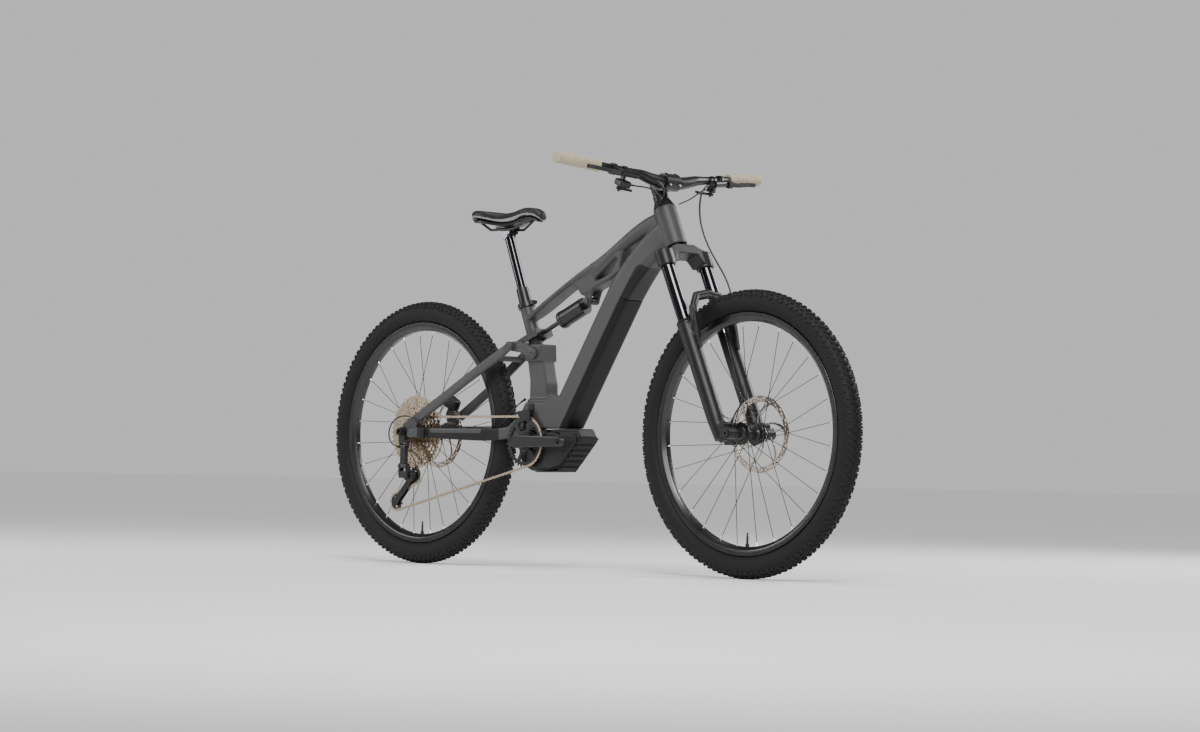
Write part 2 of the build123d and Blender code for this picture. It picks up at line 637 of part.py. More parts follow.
def dropper_lever():
    frame = bar_frame(POD_Y)
    down = -up_sign(POD_Y)
    y = down * 34
    hub_disc = Pos(6, y, -2) * Rot(90, 0, 0) * Cylinder(9, 5)
    reach = Pos(6, y, -2) * Rot(0, 120, 0) * Pos(18, 0, 0) * Box(36, 5, 11)
    tip = Pos(6, y, -2) * Rot(0, 120, 0) * Pos(36, 0, 0) * Box(12, 5, 22)
    bore = Pos(6, y, -2) * Rot(90, 0, 0) * Cylinder(3.5 + RUN, 8)
    return frame * (joined(hub_disc, reach, tip) - bore)


# ================================================================ main frame
HEAD = (HEAD_BOTTOM.X + WHEELBASE / 2, HEAD_BOTTOM.Z - AXLE_Z)
DOWN_LOW = (597.0, 50.0)
DOWN_HIGH = (HEAD[0] - 183.0, HEAD[1] - 118.5)
DOWN_ANGLE = degrees(atan2(DOWN_HIGH[1] - DOWN_LOW[1], DOWN_HIGH[0] - DOWN_LOW[0]))
DOWN_ALONG = Vector(cos(radians(DOWN_ANGLE)), 0, sin(radians(DOWN_ANGLE)))
DOWN_AHEAD = Vector(sin(radians(DOWN_ANGLE)), 0, -cos(radians(DOWN_ANGLE)))
DOWN_LENGTH = hypot(DOWN_HIGH[0] - DOWN_LOW[0], DOWN_HIGH[1] - DOWN_LOW[1])
DOWN = Plane(origin=at(*DOWN_LOW), x_dir=DOWN_AHEAD, z_dir=DOWN_ALONG)
DOWN_CORNER = 18.0
SEAM = DOWN_TUBE_DEPTH / 2 - COVER_DEPTH      # ahead of the down tube's centre line
MOTOR_TOP = 12.0                              # above the axle line


def from_head(x, z):
    return (HEAD[0] + x, HEAD[1] + z)


def steer_side(ahead, up):
    point = steer(ahead, 0, up)
    return (point.X + WHEELBASE / 2, point.Z - AXLE_Z)


def down_tube_shell():
    """The straight stretch of the down tube: a rounded box tube, open at both ends."""
    outer = extrude(RectangleRounded(DOWN_TUBE_DEPTH, DOWN_TUBE_WIDTH, DOWN_CORNER), amount=DOWN_LENGTH)
    w = DOWN_TUBE_WALL
    inner = extrude(
        RectangleRounded(DOWN_TUBE_DEPTH - 2 * w, DOWN_TUBE_WIDTH - 2 * w, DOWN_CORNER - w),
        amount=DOWN_LENGTH,
    )
    return outer - inner


def half_space(ahead_from, ahead_to):
    size = ahead_to - ahead_from
    return Pos(ahead_from + size / 2, 0, DOWN_LENGTH / 2) * Box(size, 2 * DOWN_TUBE_WIDTH, 2 * DOWN_LENGTH)


def main_frame():
    channel = DOWN * (down_tube_shell() & half_space(-DOWN_TUBE_DEPTH, SEAM - GAP / 2))
    neck_tilt = 90 - HEAD_ANGLE
    bend = from_head(-112.0, -34.0)
    neck = tube_through([
        (*DOWN_HIGH, 0, DOWN_TUBE_WIDTH, DOWN_TUBE_DEPTH, DOWN_CORNER, DOWN_ANGLE),
        (*bend, 0, 76, 80, 20, DOWN_ANGLE - 14),
        (*steer_side(-6, 44), 0, 56, 84, 22, neck_tilt),
    ])
    top_rear = tube_through([
        (430, 311, 0, 34, 14, 6, 30), (470, 332, 0, 54, 14, 6, 30), (560, 383, 0, TOP_TUBE_WIDTH, 14, 6, 29.5),
        (640, 425, 0, TOP_TUBE_WIDTH, 18, 8, 28), (700, 450, 0, 54, 26, 10, 28),
    ])
    top_front = tube_through([
        (690, 441, 0, 52, 42, 12, 29), (*from_head(-195, 7), 0, 50, 36, 14, 30.5),
        (*from_head(-108, 54), 0, 46, 46, 18, 29), (*steer_side(-6, 84), 0, 44, 50, 18, neck_tilt),
    ])
    corner = from_head(-178, -6)
    gusset = plate(
        [(612, 404), (634, 397), (655, 373), (752, 410), (800, 436), corner, (760, 492), (690, 452),
         (640, 424)],
        -24, 24, 4,
    )
    window = plate([(678, 401), (767, 431), from_head(-185, -8)], -60, 60, 5)
    head_tube = STEER * rod((0, 0, 0.2), (0, 0, HEAD_TUBE_LENGTH - 0.2), HEAD_TUBE_R)
    seat_tube = rod(seat(-250), seat(0), SEAT_TUBE_R)
    tower = plate(
        [(458, 60), (458, 145), (447, 200), (441, 234), (470, 244), (512, 244), (531, 200), (534, 140),
         (536, 60)],
        -FRAME_PIVOT_HALF, FRAME_PIVOT_HALF, 8,
    )
    shell = plate(
        [(440, MOTOR_TOP), (440, 48), (462, 84), (536, 84), (572, 104), (640, 72), (664, MOTOR_TOP)],
        -DOWN_TUBE_WIDTH / 2, DOWN_TUBE_WIDTH / 2, 6,
    )
    boss = disc(MAIN_PIVOT, 17, -FRAME_PIVOT_HALF, FRAME_PIVOT_HALF)
    rocker_boss = disc(ROCKER_PIVOT, 17, -FRAME_PIVOT_HALF, FRAME_PIVOT_HALF)
    lugs = []
    for s in (-1, 1):
        x, z = SHOCK_MOUNT
        lugs += [
            disc(SHOCK_MOUNT, 11, s * 13.2, s * 20),
            plate([(x - 11, z + 2), (x - 8, z + 26), (x + 26, z + 38), (x + 10, z - 4)], s * 13.2, s * 20),
        ]
    frame = joined(channel, neck, top_rear, top_front, gusset, head_tube, seat_tube, tower, shell, boss,
                   rocker_boss)
    frame = frame - window
    frame = joined(frame, lugs)
    # room for the chainstay eyes beside the main pivot
    for s in (-1, 1):
        window = [(400, -20), (400, 56), (466, 56), (466, -20)]
        frame = frame - plate(window, s * (FRAME_PIVOT_HALF + 0.01), s * 70)
    # head tube, seat tube, battery bay, pivots and shock bolt
    frame = frame - STEER * rod((0, 0, -5), (0, 0, HEAD_TUBE_LENGTH + 5), 21)
    frame = frame - STEER * rod((0, 0, -5), (0, 0, 14), 26 + SEAT)
    frame = frame - STEER * rod((0, 0, HEAD_TUBE_LENGTH - 12), (0, 0, HEAD_TUBE_LENGTH + 5), 25 + SEAT)
    frame = frame - rod(seat(-POST_DEPTH - 2), seat(30), POST_OUTER_R + SEAT)
    w = DOWN_TUBE_WALL
    bay = Pos(0, 0, -30) * extrude(
        RectangleRounded(DOWN_TUBE_DEPTH - 2 * w, DOWN_TUBE_WIDTH - 2 * w, DOWN_CORNER - w),
        amount=30 + DOWN_LENGTH - 20)
    frame = frame - DOWN * bay
    front_cut = Box(120, 200, DOWN_LENGTH + 80 - 2 * GAP)
    front_cut = Pos(SEAM - GAP / 2 + 60, 0, DOWN_LENGTH / 2 - 40) * front_cut
    frame = frame - DOWN * front_cut
    frame = frame - disc(MAIN_PIVOT, MAIN_PIN_R + RUN, -60, 60)
    for s in (-1, 1):
        frame = frame - disc(ROCKER_PIVOT, ROCKER_PIN_R + RUN, s * (POST_OUTER_R + 1.6), s * 60)
    frame = frame - disc(SHOCK_MOUNT, SHOCK_BOLT_R + SEAT, -40, 40)
    return frame


POST_DEPTH = POST_INSERTION + DROPPER_TRAVEL + 14.0


def battery_cover():
    """Black cover that closes the front of the down tube."""
    shell = down_tube_shell() & half_space(SEAM + GAP / 2, DOWN_TUBE_DEPTH)
    low_end = extrude(RectangleRounded(DOWN_TUBE_DEPTH, DOWN_TUBE_WIDTH, DOWN_CORNER), amount=-38)
    w = DOWN_TUBE_WALL
    low_end = low_end - extrude(
        RectangleRounded(DOWN_TUBE_DEPTH - 2 * w, DOWN_TUBE_WIDTH - 2 * w, DOWN_CORNER - w), amount=-38)
    low_end = low_end & (Pos(SEAM + GAP / 2 + 30, 0, -19) * Box(60, 200, 38))
    cover = DOWN * joined(shell, low_end)
    top_cut = DOWN * (Pos(0, 0, DOWN_LENGTH - GAP + 20) * Box(200, 200, 40))
    under = at(640, MOTOR_TOP - 40 + GAP)
    return (cover - top_cut) - Location(under) * Box(200, 200, 80)


def battery_pack():
    """The long battery inside the down tube."""
    w = DOWN_TUBE_WALL + 2.5
    body = extrude(
        RectangleRounded(DOWN_TUBE_DEPTH - 2 * w, DOWN_TUBE_WIDTH - 2 * w, DOWN_CORNER - w - 2),
        amount=DOWN_LENGTH - 60,
    )
    foot = Pos(-6, 0, -8) * Box(DOWN_TUBE_DEPTH - 2 * w - 16, DOWN_TUBE_WIDTH - 2 * w - 8, 16)
    feet = [
        Pos(0, s * (DOWN_TUBE_WIDTH / 2 - w + 1.1), DOWN_LENGTH * share) * Box(30, 2.4, 20)
        for s in (-1, 1) for share in (0.15, 0.6)
    ]
    return DOWN * (Pos(0, 0, 22) * joined(body, foot, feet))


def drive_unit():
    """Mid motor in its black casing, bored for the crank spindle."""
    core = plate(
        [(434, -24), (430, -58), (448, -90), (484, -105), (560, -103), (648, -83), (674, -50), (671, -8),
         (658, MOTOR_TOP - GAP), (452, MOTOR_TOP - GAP - 5)],
        -32, 32, 7,
    )
    x, z = BB
    wide = plate(
        [(x + 14, -4), (x - 18, -62), (x + 4, -98), (560, -98), (640, -79), (666, -48), (663, -4)],
        -MOTOR_HALF, MOTOR_HALF, 12,
    )
    nose = disc(BB, 33.5, -44, 44)
    gear_case = disc((572, -46), 48, -MOTOR_HALF - 2, MOTOR_HALF + 2)
    body = joined(core, wide, nose, gear_case)
    eye = disc(MAIN_PIVOT, 18 + GAP, -60, 60)
    body = body - eye
    return body - disc(BB, SPINDLE_R + RUN, -80, 80)


def motor_skid_plate():
    """Ribbed guard under the motor's front."""
    outer = [(500, -108.5), (562, -106.5), (652, -86), (679, -51), (676, -14)]
    inner = [(673.2, -14), (676.2, -50.4), (650.6, -83.4), (561.6, -103.6), (500, -105.5)]
    solid = plate(outer + inner, -36, 36)
    ribs = []
    for y in (-27, -18, -9, 0, 9, 18, 27):
        ribs.append(plate(
            [(510, -111.5), (562, -109.4), (654, -88.6), (682, -51.4), (679, -22), (677, -22), (678.6, -51),
             (651.8, -85.8), (561.8, -106), (510, -108)], y - 2, y + 2))
    return joined(solid, ribs)


def seat_clamp():
    ring = rod(seat(-15), seat(-1), SEAT_TUBE_R + 4.5)
    ring = ring - rod(seat(-20), seat(5), SEAT_TUBE_R + SEAT)
    ear = Location(seat(-8, SEAT_TUBE_R + 7)) * Box(12, 16, 12)
    ring = joined(ring, ear) - rod(seat(-30), seat(10), SEAT_TUBE_R + SEAT)
    slot = Location(seat(-8, SEAT_TUBE_R + 9)) * Box(24, 1.4, 26)
    return ring - slot


def seat_clamp_bolt():
    a, b = seat(-8, SEAT_TUBE_R + 9.6, 8 + SEAT), seat(-8, SEAT_TUBE_R + 9.6, 12)
    return rod(a, b, 4)


def dropper_outer_tube():
    tube = rod(seat(-POST_DEPTH), seat(2), POST_OUTER_R)
    collar = rod(seat(SEAT), seat(POST_COLLAR), POST_OUTER_R + 2.6, POST_OUTER_R + 1.4)
    solid = tube + collar
    return solid - rod(seat(-POST_DEPTH + 3), seat(POST_COLLAR + 2), POST_INNER_R + RUN)


def dropper_upper_tube():
    """Sliding post with the saddle clamp cradle on top."""
    top = POST_HEAD_ABOVE
    tube = rod(seat(-POST_INSERTION), seat(top - 12), POST_INNER_R)
    tube = tube - rod(seat(-POST_INSERTION - 1), seat(top - 40), POST_INNER_R - 2)
    head = rod(seat(top - 8, 0, -17), seat(top - 8, 0, 17), 12)
    base = Location(seat(top - 2)) * Box(44, 34, 8)
    solid = joined(tube, head, base)
    for bolt in clamp_bolts(CLAMP_BOLT_R + SEAT):
        solid = solid - bolt
    return solid


def clamp_bolts(radius):
    """The two upright bolts ahead of and behind the post's head."""
    mid = seat(POST_HEAD_ABOVE + 2)
    return [rod(mid + Vector(dx, 0, -21), mid + Vector(dx, 0, 14), radius) for dx in (-17, 17)]


CLAMP_BOLT_R = 2.6
RAIL_Y = 22.0
RAIL_R = 3.5
SADDLE_REAR, SADDLE_TIP = 235.0, 478.0


def saddle_rails():
    """Two bent rails, joined at the front, with the clamp pieces and bolts that hold them."""
    mid = seat(POST_HEAD_ABOVE + 2 + RAIL_R + SEAT)
    x0, z0 = mid.X + WHEELBASE / 2, mid.Z - AXLE_Z
    pieces = []
    for s in (-1, 1):
        route = [
            (x0 - 70, z0 + 22, s * 36), (x0 - 44, z0 + 1, s * RAIL_Y), (x0 + 44, z0 + 1, s * RAIL_Y),
            (x0 + 92, z0 + 26, s * 15), (x0 + 112, z0 + 30, s * 12),
        ]
        points = [at(x, z, y) for x, z, y in route]
        bars = [rod(a, b, RAIL_R) for a, b in zip(points, points[1:])]
        balls = [Location(p) * Sphere(RAIL_R) for p in points[1:-1]]
        pieces.append(joined(bars, balls))
    for s in (-1, 1):
        top = Location(at(x0, z0 + RAIL_R + 4, s * RAIL_Y)) * Box(40, 12, 6)
        pieces.append(top)
    bridge = Location(at(x0, z0 + RAIL_R + 4)) * Box(40, 2 * RAIL_Y, 5)
    clamp = joined(pieces[2], pieces[3], bridge, clamp_bolts(CLAMP_BOLT_R))
    return pieces[:2] + [clamp]


def saddle_section(x, centre_z, width, height):
    plane = Plane(origin=at(x, centre_z), x_dir=(0, 1, 0), z_dir=(1, 0, 0))
    return plane * RectangleRounded(width, height, height * 0.46)


# along the saddle: place, top above the axle line, width
SADDLE_FORM = [
    (235, 612, 96), (255, 621, 132), (290, 618, 142), (330, 611, 118), (370, 612, 80), (405, 622, 58),
    (432, 626, 48), (462, 619, 40), (477, 610, 28),
]


def saddle_shell():
    faces = [saddle_section(x, top - 30, width - 16, 9) for x, top, width in SADDLE_FORM[1:-1]]
    return loft(faces)


def saddle_cover():
    faces = [saddle_section(x, top - 12.5, width, 25) for x, top, width in SADDLE_FORM]
    return loft(faces)


# ================================================================ rear suspension
def stay_stations(s):
    return [
        (70, -2, s * 70, 15, 26, 5, -2), (120, -3, s * 68, 15, 30, 6, -1), (220, -5, s * 59, 15, 34, 6, -1),
        (300, -6, s * 50, 14, 36, 6, 2), (365, -4, s * 43, 13, 34, 5, 8), (405, 2, s * 41, 13, 32, 5, 25),
    ]


def chainstays():
    """Both chainstays, the yoke ahead of the tyre, the eyes at each end and the pins behind."""
    shapes = []
    eye_in = FRAME_PIVOT_HALF + GAP
    out = REAR_DROPOUT_HALF + DROPOUT_THICK + GAP
    for s in (-1, 1):
        shapes.append(tube_through(stay_stations(s)))
        ear = [(398, -16), (398, 16), (436, 42), (460, 33), (458, 8), (428, -8)]
        shapes.append(plate(ear, s * 34.5, s * 47.5, 5))
        shapes.append(disc(MAIN_PIVOT, 17, s * eye_in, s * 47.5))
        shapes.append(disc(HORST_PIVOT, 13, s * out, s * (out + 8)))
        hx, hz = HORST_PIVOT
        shapes.append(plate([(hx, hz - 12), (hx, hz + 12), (hx + 30, 13), (hx + 50, 11), (hx + 50, -14)],
                            s * (out - 0.0), s * (out + 7)))
        tab = [(hx + 22, -16), (hx + 22, 12), (hx + 58, 12), (hx + 58, -16)]
        shapes.append(plate(tab, s * 62, s * (out + 6)))
        shapes.append(disc(HORST_PIVOT, HORST_PIN_R, s * (REAR_DROPOUT_HALF - 0.6), s * (out + 1)))
    shapes.append(plate([(391, -16), (391, 15), (413, 19), (413, -8)], -47, 47, 4))
    solid = joined(shapes)
    return solid - disc(MAIN_PIVOT, MAIN_PIN_R + SEAT, -60, 60)


def main_pivot_axle():
    shaft = disc(MAIN_PIVOT, MAIN_PIN_R, -47.5, 47.5)
    head = disc(MAIN_PIVOT, MAIN_PIN_R + 3, 47.5 + SEAT, 49.5)
    socket = disc(MAIN_PIVOT, 3, 44, 51)
    return joined(shaft, disc(MAIN_PIVOT, MAIN_PIN_R - 2, 47, 49)) + head - socket


def chainstay_guard():
    """Rubber strip along the top of the right chainstay."""
    stations = [(x, z + h / 2 + 2.3, y, w - 3, 4, 1.5, a) for x, z, y, w, h, c, a in stay_stations(-1)[1:4]]
    x, z, y, w, h, corner, angle = stations[-1]
    stations.append((x + 38, z + 0.8, y + 4.2, w, h, corner, 3))
    return tube_through(stations)


def seatstays():
    """Both seatstays with the dropouts that carry the rear axle, and the bridge between them."""
    shapes = []
    y0, y1 = REAR_DROPOUT_HALF, REAR_DROPOUT_HALF + DROPOUT_THICK
    lx, lz = LINK_PIVOT
    hx, hz = HORST_PIVOT
    end_y = (STAY_END[0] + STAY_END[1]) / 2
    for s in (-1, 1):
        shapes.append(plate([(-14, -8), (-14, 12), (8, 30), (44, 44), (60, 34), (hx + 13, hz + 4), (hx + 8, hz - 12),
                             (4, -14)], s * y0, s * y1, 5))
        shapes.append(tube_through([
            (26, 24, s * 76, 9, 26, 4, 34), (70, 47, s * 75, 12, 28, 5, 31), (150, 92, s * 70, 14, 28, 6, 30),
            (270, 163, s * 60, 14, 28, 6, 30.5), (lx - 34, lz - 20, s * end_y, 11, 28, 5, 30.5),
            (lx, lz, s * end_y, STAY_END[1] - STAY_END[0] - 1.6, 24, 5, 30.5),
        ]))
        shapes.append(disc(LINK_PIVOT, 13, s * STAY_END[0], s * STAY_END[1]))
    bridge = rod(at(lx - 52, lz - 33, -50), at(lx - 52, lz - 33, 50), 8)
    solid = joined(shapes, bridge)
    for s in (-1, 1):
        solid = solid - disc(HORST_PIVOT, HORST_PIN_R + RUN, s * (y0 - 2), s * (y1 + 2))
    corners = [(56, 44), (112, 55), (112, 69), (58, 78), (36, 62)]
    outline = [(r * cos(radians(a)), r * sin(radians(a))) for r, a in corners]
    mount = plate(outline, REAR_ROTOR_Y + CALIPER_WIDTH / 2 + 0.2, y0 + 4, 3)
    solid = joined(solid, mount)
    return solid - disc((0, 0), REAR_AXLE_R + SEAT, -100, 100)


def rear_axle():
    far = REAR_DROPOUT_HALF + DROPOUT_THICK
    shaft = disc((0, 0), REAR_AXLE_R, -far - 12, far)
    head = disc((0, 0), REAR_AXLE_R + 3, far + SEAT, far + 3)
    end = disc((0, 0), REAR_AXLE_R - 1, far - 1, far + 1)
    return joined(shaft, end, head) - disc((0, 0), 3, far - 3, far + 4)


def rocker_link():
    """Two arms on stub pins beside the frame tower, one each side."""
    y0, y1 = ROCKER_ARM
    kx, kz = ROCKER_PIVOT
    lx, lz = LINK_PIVOT
    arms = []
    for s in (-1, 1):
        outline = [(kx + 2, kz - 15), (kx + 14, kz), (kx + 4, kz + 15), (lx + 30, lz + 14), (lx, lz + 13),
                   (lx - 2, lz - 13), (lx + 36, lz - 18)]
        arm = joined(plate(outline, s * y0, s * y1, 4), disc(ROCKER_PIVOT, 16, s * y0, s * y1),
                     disc(LINK_PIVOT, 13, s * y0, s * y1))
        pin = disc(ROCKER_PIVOT, ROCKER_PIN_R, s * (POST_OUTER_R + 2.2), s * (y0 + 1))
        cap = disc(ROCKER_PIVOT, 10, s * (y1 - 1), s * (y1 + 2.5))
        arms.append(joined(arm, pin, cap) - disc(ROCKER_PIVOT, 4, s * (y1 - 1), s * (y1 + 4)))
    return arms


def stay_caps():
    """Bolt caps outside the seatstay ends."""
    caps = []
    for s in (-1, 1):
        cap = disc(LINK_PIVOT, 9, s * (STAY_END[1] + SEAT), s * (STAY_END[1] + 2.5))
        caps.append(cap - disc(LINK_PIVOT, 3.5, s * (STAY_END[1] + 1), s * (STAY_END[1] + 4)))
    return caps


SHOCK_LENGTH = hypot(SHOCK_MOUNT[0] - LINK_PIVOT[0], SHOCK_MOUNT[1] - LINK_PIVOT[1])
SHOCK_DIR = Vector(LINK_PIVOT[0] - SHOCK_MOUNT[0], 0, LINK_PIVOT[1] - SHOCK_MOUNT[1]).normalized()


def shock(distance, y=0.0):
    """A point on the shock's line, measured back from its front mount."""
    return at(*SHOCK_MOUNT, y) + SHOCK_DIR * distance


CAN_START = 28.0
CAN_END = CAN_START + SHOCK_CAN_LENGTH
SHAFT_END = CAN_START + 14.0      # far end of the shaft inside the can, at full length
YOKE_FRONT = SHOCK_LENGTH - 98.0


def shock_can():
    can = rod(shock(CAN_START), shock(CAN_END), SHOCK_CAN_R)
    neck = rod(shock(0), shock(CAN_START + 2), 10)
    cap = rod(shock(CAN_END - 12), shock(CAN_END), SHOCK_CAN_R + 1.2)
    eye = disc(SHOCK_MOUNT, 10.5, -12.7, 12.7)
    solid = joined(can, neck, cap, eye)
    solid = solid - disc(SHOCK_MOUNT, SHOCK_BOLT_R + RUN, -30, 30)
    solid = solid - rod(shock(CAN_START + 4), shock(CAN_END - 10), SHOCK_CAN_R - 3)
    return solid - rod(shock(CAN_START + 6), shock(CAN_END + 2), SHOCK_SHAFT_R + RUN)


def shock_bolt():
    shaft = disc(SHOCK_MOUNT, SHOCK_BOLT_R, -20, 20)
    heads = [disc(SHOCK_MOUNT, SHOCK_BOLT_R + 2.5, s * 20.05, s * 23) for s in (-1, 1)]
    cores = [disc(SHOCK_MOUNT, SHOCK_BOLT_R - 1, s * 19, s * 21) for s in (-1, 1)]
    return joined(shaft, heads, cores)


def shock_shaft():
    """Damper shaft, piston and the yoke that straddles the seat tube."""
    rod_part = rod(shock(CAN_END - 22), shock(YOKE_FRONT + 2), SHOCK_SHAFT_R)
    y0, y1 = YOKE_ARM
    lx, lz = LINK_PIVOT
    shapes = [rod_part]
    plane = Plane(origin=shock(YOKE_FRONT + 7), x_dir=(0, 1, 0), z_dir=SHOCK_DIR)
    bridge = plane * Box(2 * y1, 20, 14)
    shapes.append(bridge)
    for s in (-1, 1):
        arm_plane = Plane(origin=shock((YOKE_FRONT + SHOCK_LENGTH) / 2 + 1, s * (y0 + y1) / 2),
                          x_dir=(0, 1, 0), z_dir=SHOCK_DIR)
        shapes.append(arm_plane * Box(y1 - y0, 18, SHOCK_LENGTH - YOKE_FRONT))
        shapes.append(disc(LINK_PIVOT, 12, s * y0, s * y1))
    return joined(shapes)


# ================================================================ drive train
def pitch_radius(teeth):
    return CHAIN_PITCH / (2 * sin(pi / teeth))


RING_R = pitch_radius(RING_TEETH)
COG_R = pitch_radius(COGS[COG_ON])
PULLEY_R = pitch_radius(PULLEY_TEETH)
TOOTH = 2.4                       # tooth tips above the pitch circle
TOOTH_HALF = 0.8
PLATE_INNER = TOOTH_HALF + 0.35

# circles that the chain runs round, in its direction of travel over the ring; the
# last value is +1 where the centre is to the right of the path, -1 where it is left
CHAIN_CIRCLES = [
    (*BB, RING_R, 1), (*TENSION_PULLEY, PULLEY_R, 1), (*GUIDE_PULLEY, PULLEY_R, -1), (0.0, 0.0, COG_R, 1),
]


def chain_line(first, second):
    """The straight run between two of the chain's circles, as its two ends."""
    x1, z1, r1, s1 = first
    x2, z2, r2, s2 = second
    apart = hypot(x2 - x1, z2 - z1)
    heading = atan2(z2 - z1, x2 - x1) - sin_inverse((s1 * r1 - s2 * r2) / apart)
    nx, nz = -sin(heading), cos(heading)
    return (x1 + s1 * r1 * nx, z1 + s1 * r1 * nz), (x2 + s2 * r2 * nx, z2 + s2 * r2 * nz)


def sin_inverse(value):
    return pi / 2 - acos(value)


def chain_arc(circle, enter, leave, y0, y1):
    """The stretch of side plate that wraps a sprocket, from one run's end to the next one's start."""
    x, z, r, turn = circle
    a0 = atan2(enter[1] - z, enter[0] - x)
    a1 = atan2(leave[1] - z, leave[0] - x)
    sweep = (a0 - a1) % (2 * pi) if turn > 0 else (a1 - a0) % (2 * pi)
    way = -1 if turn > 0 else 1

    def on(radius, share):
        angle = a0 + way * sweep * share
        return at(x + radius * cos(angle), z + radius * sin(angle), y0)

    inner, outer = r - CHAIN_HEIGHT / 2, r + CHAIN_HEIGHT / 2
    edges = [
        ThreePointArc(on(outer, 0), on(outer, 0.5), on(outer, 1)), Line(on(outer, 1), on(inner, 1)),
        ThreePointArc(on(inner, 1), on(inner, 0.5), on(inner, 0)), Line(on(inner, 0), on(outer, 0)),
    ]
    return extrude(make_face(edges), amount=y1 - y0, dir=(0, 1, 0))


def chain():
    """The chain as two rows of side plates with cross pins along its free runs."""
    count = len(CHAIN_CIRCLES)
    runs = [chain_line(CHAIN_CIRCLES[i], CHAIN_CIRCLES[(i + 1) % count]) for i in range(count)]
    shapes = []
    for side in (-1, 1):
        y_mid = CHAIN_Y + side * (PLATE_INNER + CHAIN_HALF) / 2
        half = (CHAIN_HALF - PLATE_INNER) / 2
        for index in range(count):
            (xa, za), (xb, zb) = runs[index]
            length = hypot(xb - xa, zb - za)
            along = Vector((xb - xa) / length, 0, (zb - za) / length)
            plane = Plane(origin=at((xa + xb) / 2, (za + zb) / 2, y_mid), x_dir=along, z_dir=(0, 1, 0))
            shapes.append(plane * Box(length, CHAIN_HEIGHT, 2 * half))
            enter, leave = runs[index - 1][1], runs[index][0]
            shapes.append(chain_arc(CHAIN_CIRCLES[index], enter, leave, y_mid - half, y_mid + half))
    for index in (0, count - 1):
        (xa, za), (xb, zb) = runs[index]
        length = hypot(xb - xa, zb - za)
        pins = int(length / CHAIN_PITCH)
        for step in range(3, pins - 2):
            share = step * CHAIN_PITCH / length
            spot = (xa + (xb - xa) * share, za + (zb - za) * share)
            shapes.append(disc(spot, 1.8, CHAIN_Y - CHAIN_HALF + 0.3, CHAIN_Y + CHAIN_HALF - 0.3))
    return joined(shapes)


def chainring():
    """Narrow toothed ring with its pressed spider, on the crank spindle."""
    body = disc(BB, RING_R + TOOTH, CHAIN_Y - TOOTH_HALF, CHAIN_Y + TOOTH_HALF)
    for step in range(6):
        turn = radians(60 * step + 30)
        spot = (BB[0] + 43 * cos(turn), BB[1] + 43 * sin(turn))
        body = body - disc(spot, 14, CHAIN_Y - 5, CHAIN_Y + 5)
    carrier = disc(BB, 26, CHAIN_Y - 5, CHAIN_Y + 2.5)
    return joined(body, carrier) - disc(BB, SPINDLE_R + SEAT, CHAIN_Y - 20, CHAIN_Y + 20)


def crank_arm(s):
    """One arm, right pointing forward and left pointing back, with its pedal bore."""
    x, z = BB
    way = 1 if s < 0 else -1
    end = x + way * CRANK_LENGTH
    outline = [(x, z - 17), (x, z + 17), (end - way * 12, z + 13.5), (end, z + 13.5), (end, z - 13.5),
               (end - way * 12, z - 13.5)]
    blade = plate(outline, s * CRANK_INNER, s * CRANK_OUTER)
    root = disc(BB, 19, s * (CRANK_INNER - 6), s * CRANK_OUTER)
    tip = disc((end, z), 14, s * CRANK_INNER, s * CRANK_OUTER)
    bore = disc((end, z), PEDAL_BORE_R, s * (CRANK_INNER - 1), s * (CRANK_OUTER + 1))
    return joined(blade, root, tip) - bore - disc(BB, SPINDLE_R + SEAT, s * 40, s * (CRANK_OUTER - 3))


def crank_arms():
    return [crank_arm(-1), crank_arm(1)]


def crank_spindle():
    far = CRANK_OUTER - 3.1
    return disc(BB, SPINDLE_R, -far, far) - disc(BB, SPINDLE_R - 4, -far - 1, far + 1)


def cassette():
    """Twelve cogs on a stepped carrier."""
    body = None
    first = CHAIN_Y - COG_ON * COG_SPACING
    for index, teeth in enumerate(COGS):
        y = first + index * COG_SPACING
        cog = disc((0, 0), pitch_radius(teeth) + TOOTH, y - TOOTH_HALF, y + TOOTH_HALF)
        body = cog if body is None else body + cog
        if index:
            smaller = pitch_radius(COGS[index - 1])
            body = body + disc((0, 0), smaller - 4.6, y - COG_SPACING, y)
    last = first + (len(COGS) - 1) * COG_SPACING
    body = body + disc((0, 0), 24, last - 1, last + 3)
    return body - disc((0, 0), CASSETTE_BORE, first - 10, last + 10)


CASSETTE_BORE = 10.0
CASSETTE_END = CHAIN_Y - COG_ON * COG_SPACING + (len(COGS) - 1) * COG_SPACING + 3


def pulley(place):
    body = disc(place, PULLEY_R + TOOTH, CHAIN_Y - TOOTH_HALF, CHAIN_Y + TOOTH_HALF)
    for step in range(5):
        turn = radians(72 * step)
        spot = (place[0] + 14 * cos(turn), place[1] + 14 * sin(turn))
        body = body - disc(spot, 3.6, CHAIN_Y - 5, CHAIN_Y + 5)
    body = body + disc(place, 7.5, CHAIN_Y - CAGE_HALF + GAP, CHAIN_Y + CAGE_HALF - GAP)
    return body - disc(place, PULLEY_BOLT_R + RUN, CHAIN_Y - 10, CHAIN_Y + 10)


CAGE_HALF = 4.6
CAGE_PLATE = 2.2
PULLEY_BOLT_R = 2.6
KNUCKLE_R = 15.0
LINK_TOP, LINK_LOW = -42.0, -98.0      # shift pins, above the axle line
LINK_Y = -84.0
LINK_X = (-2.0, 20.0)


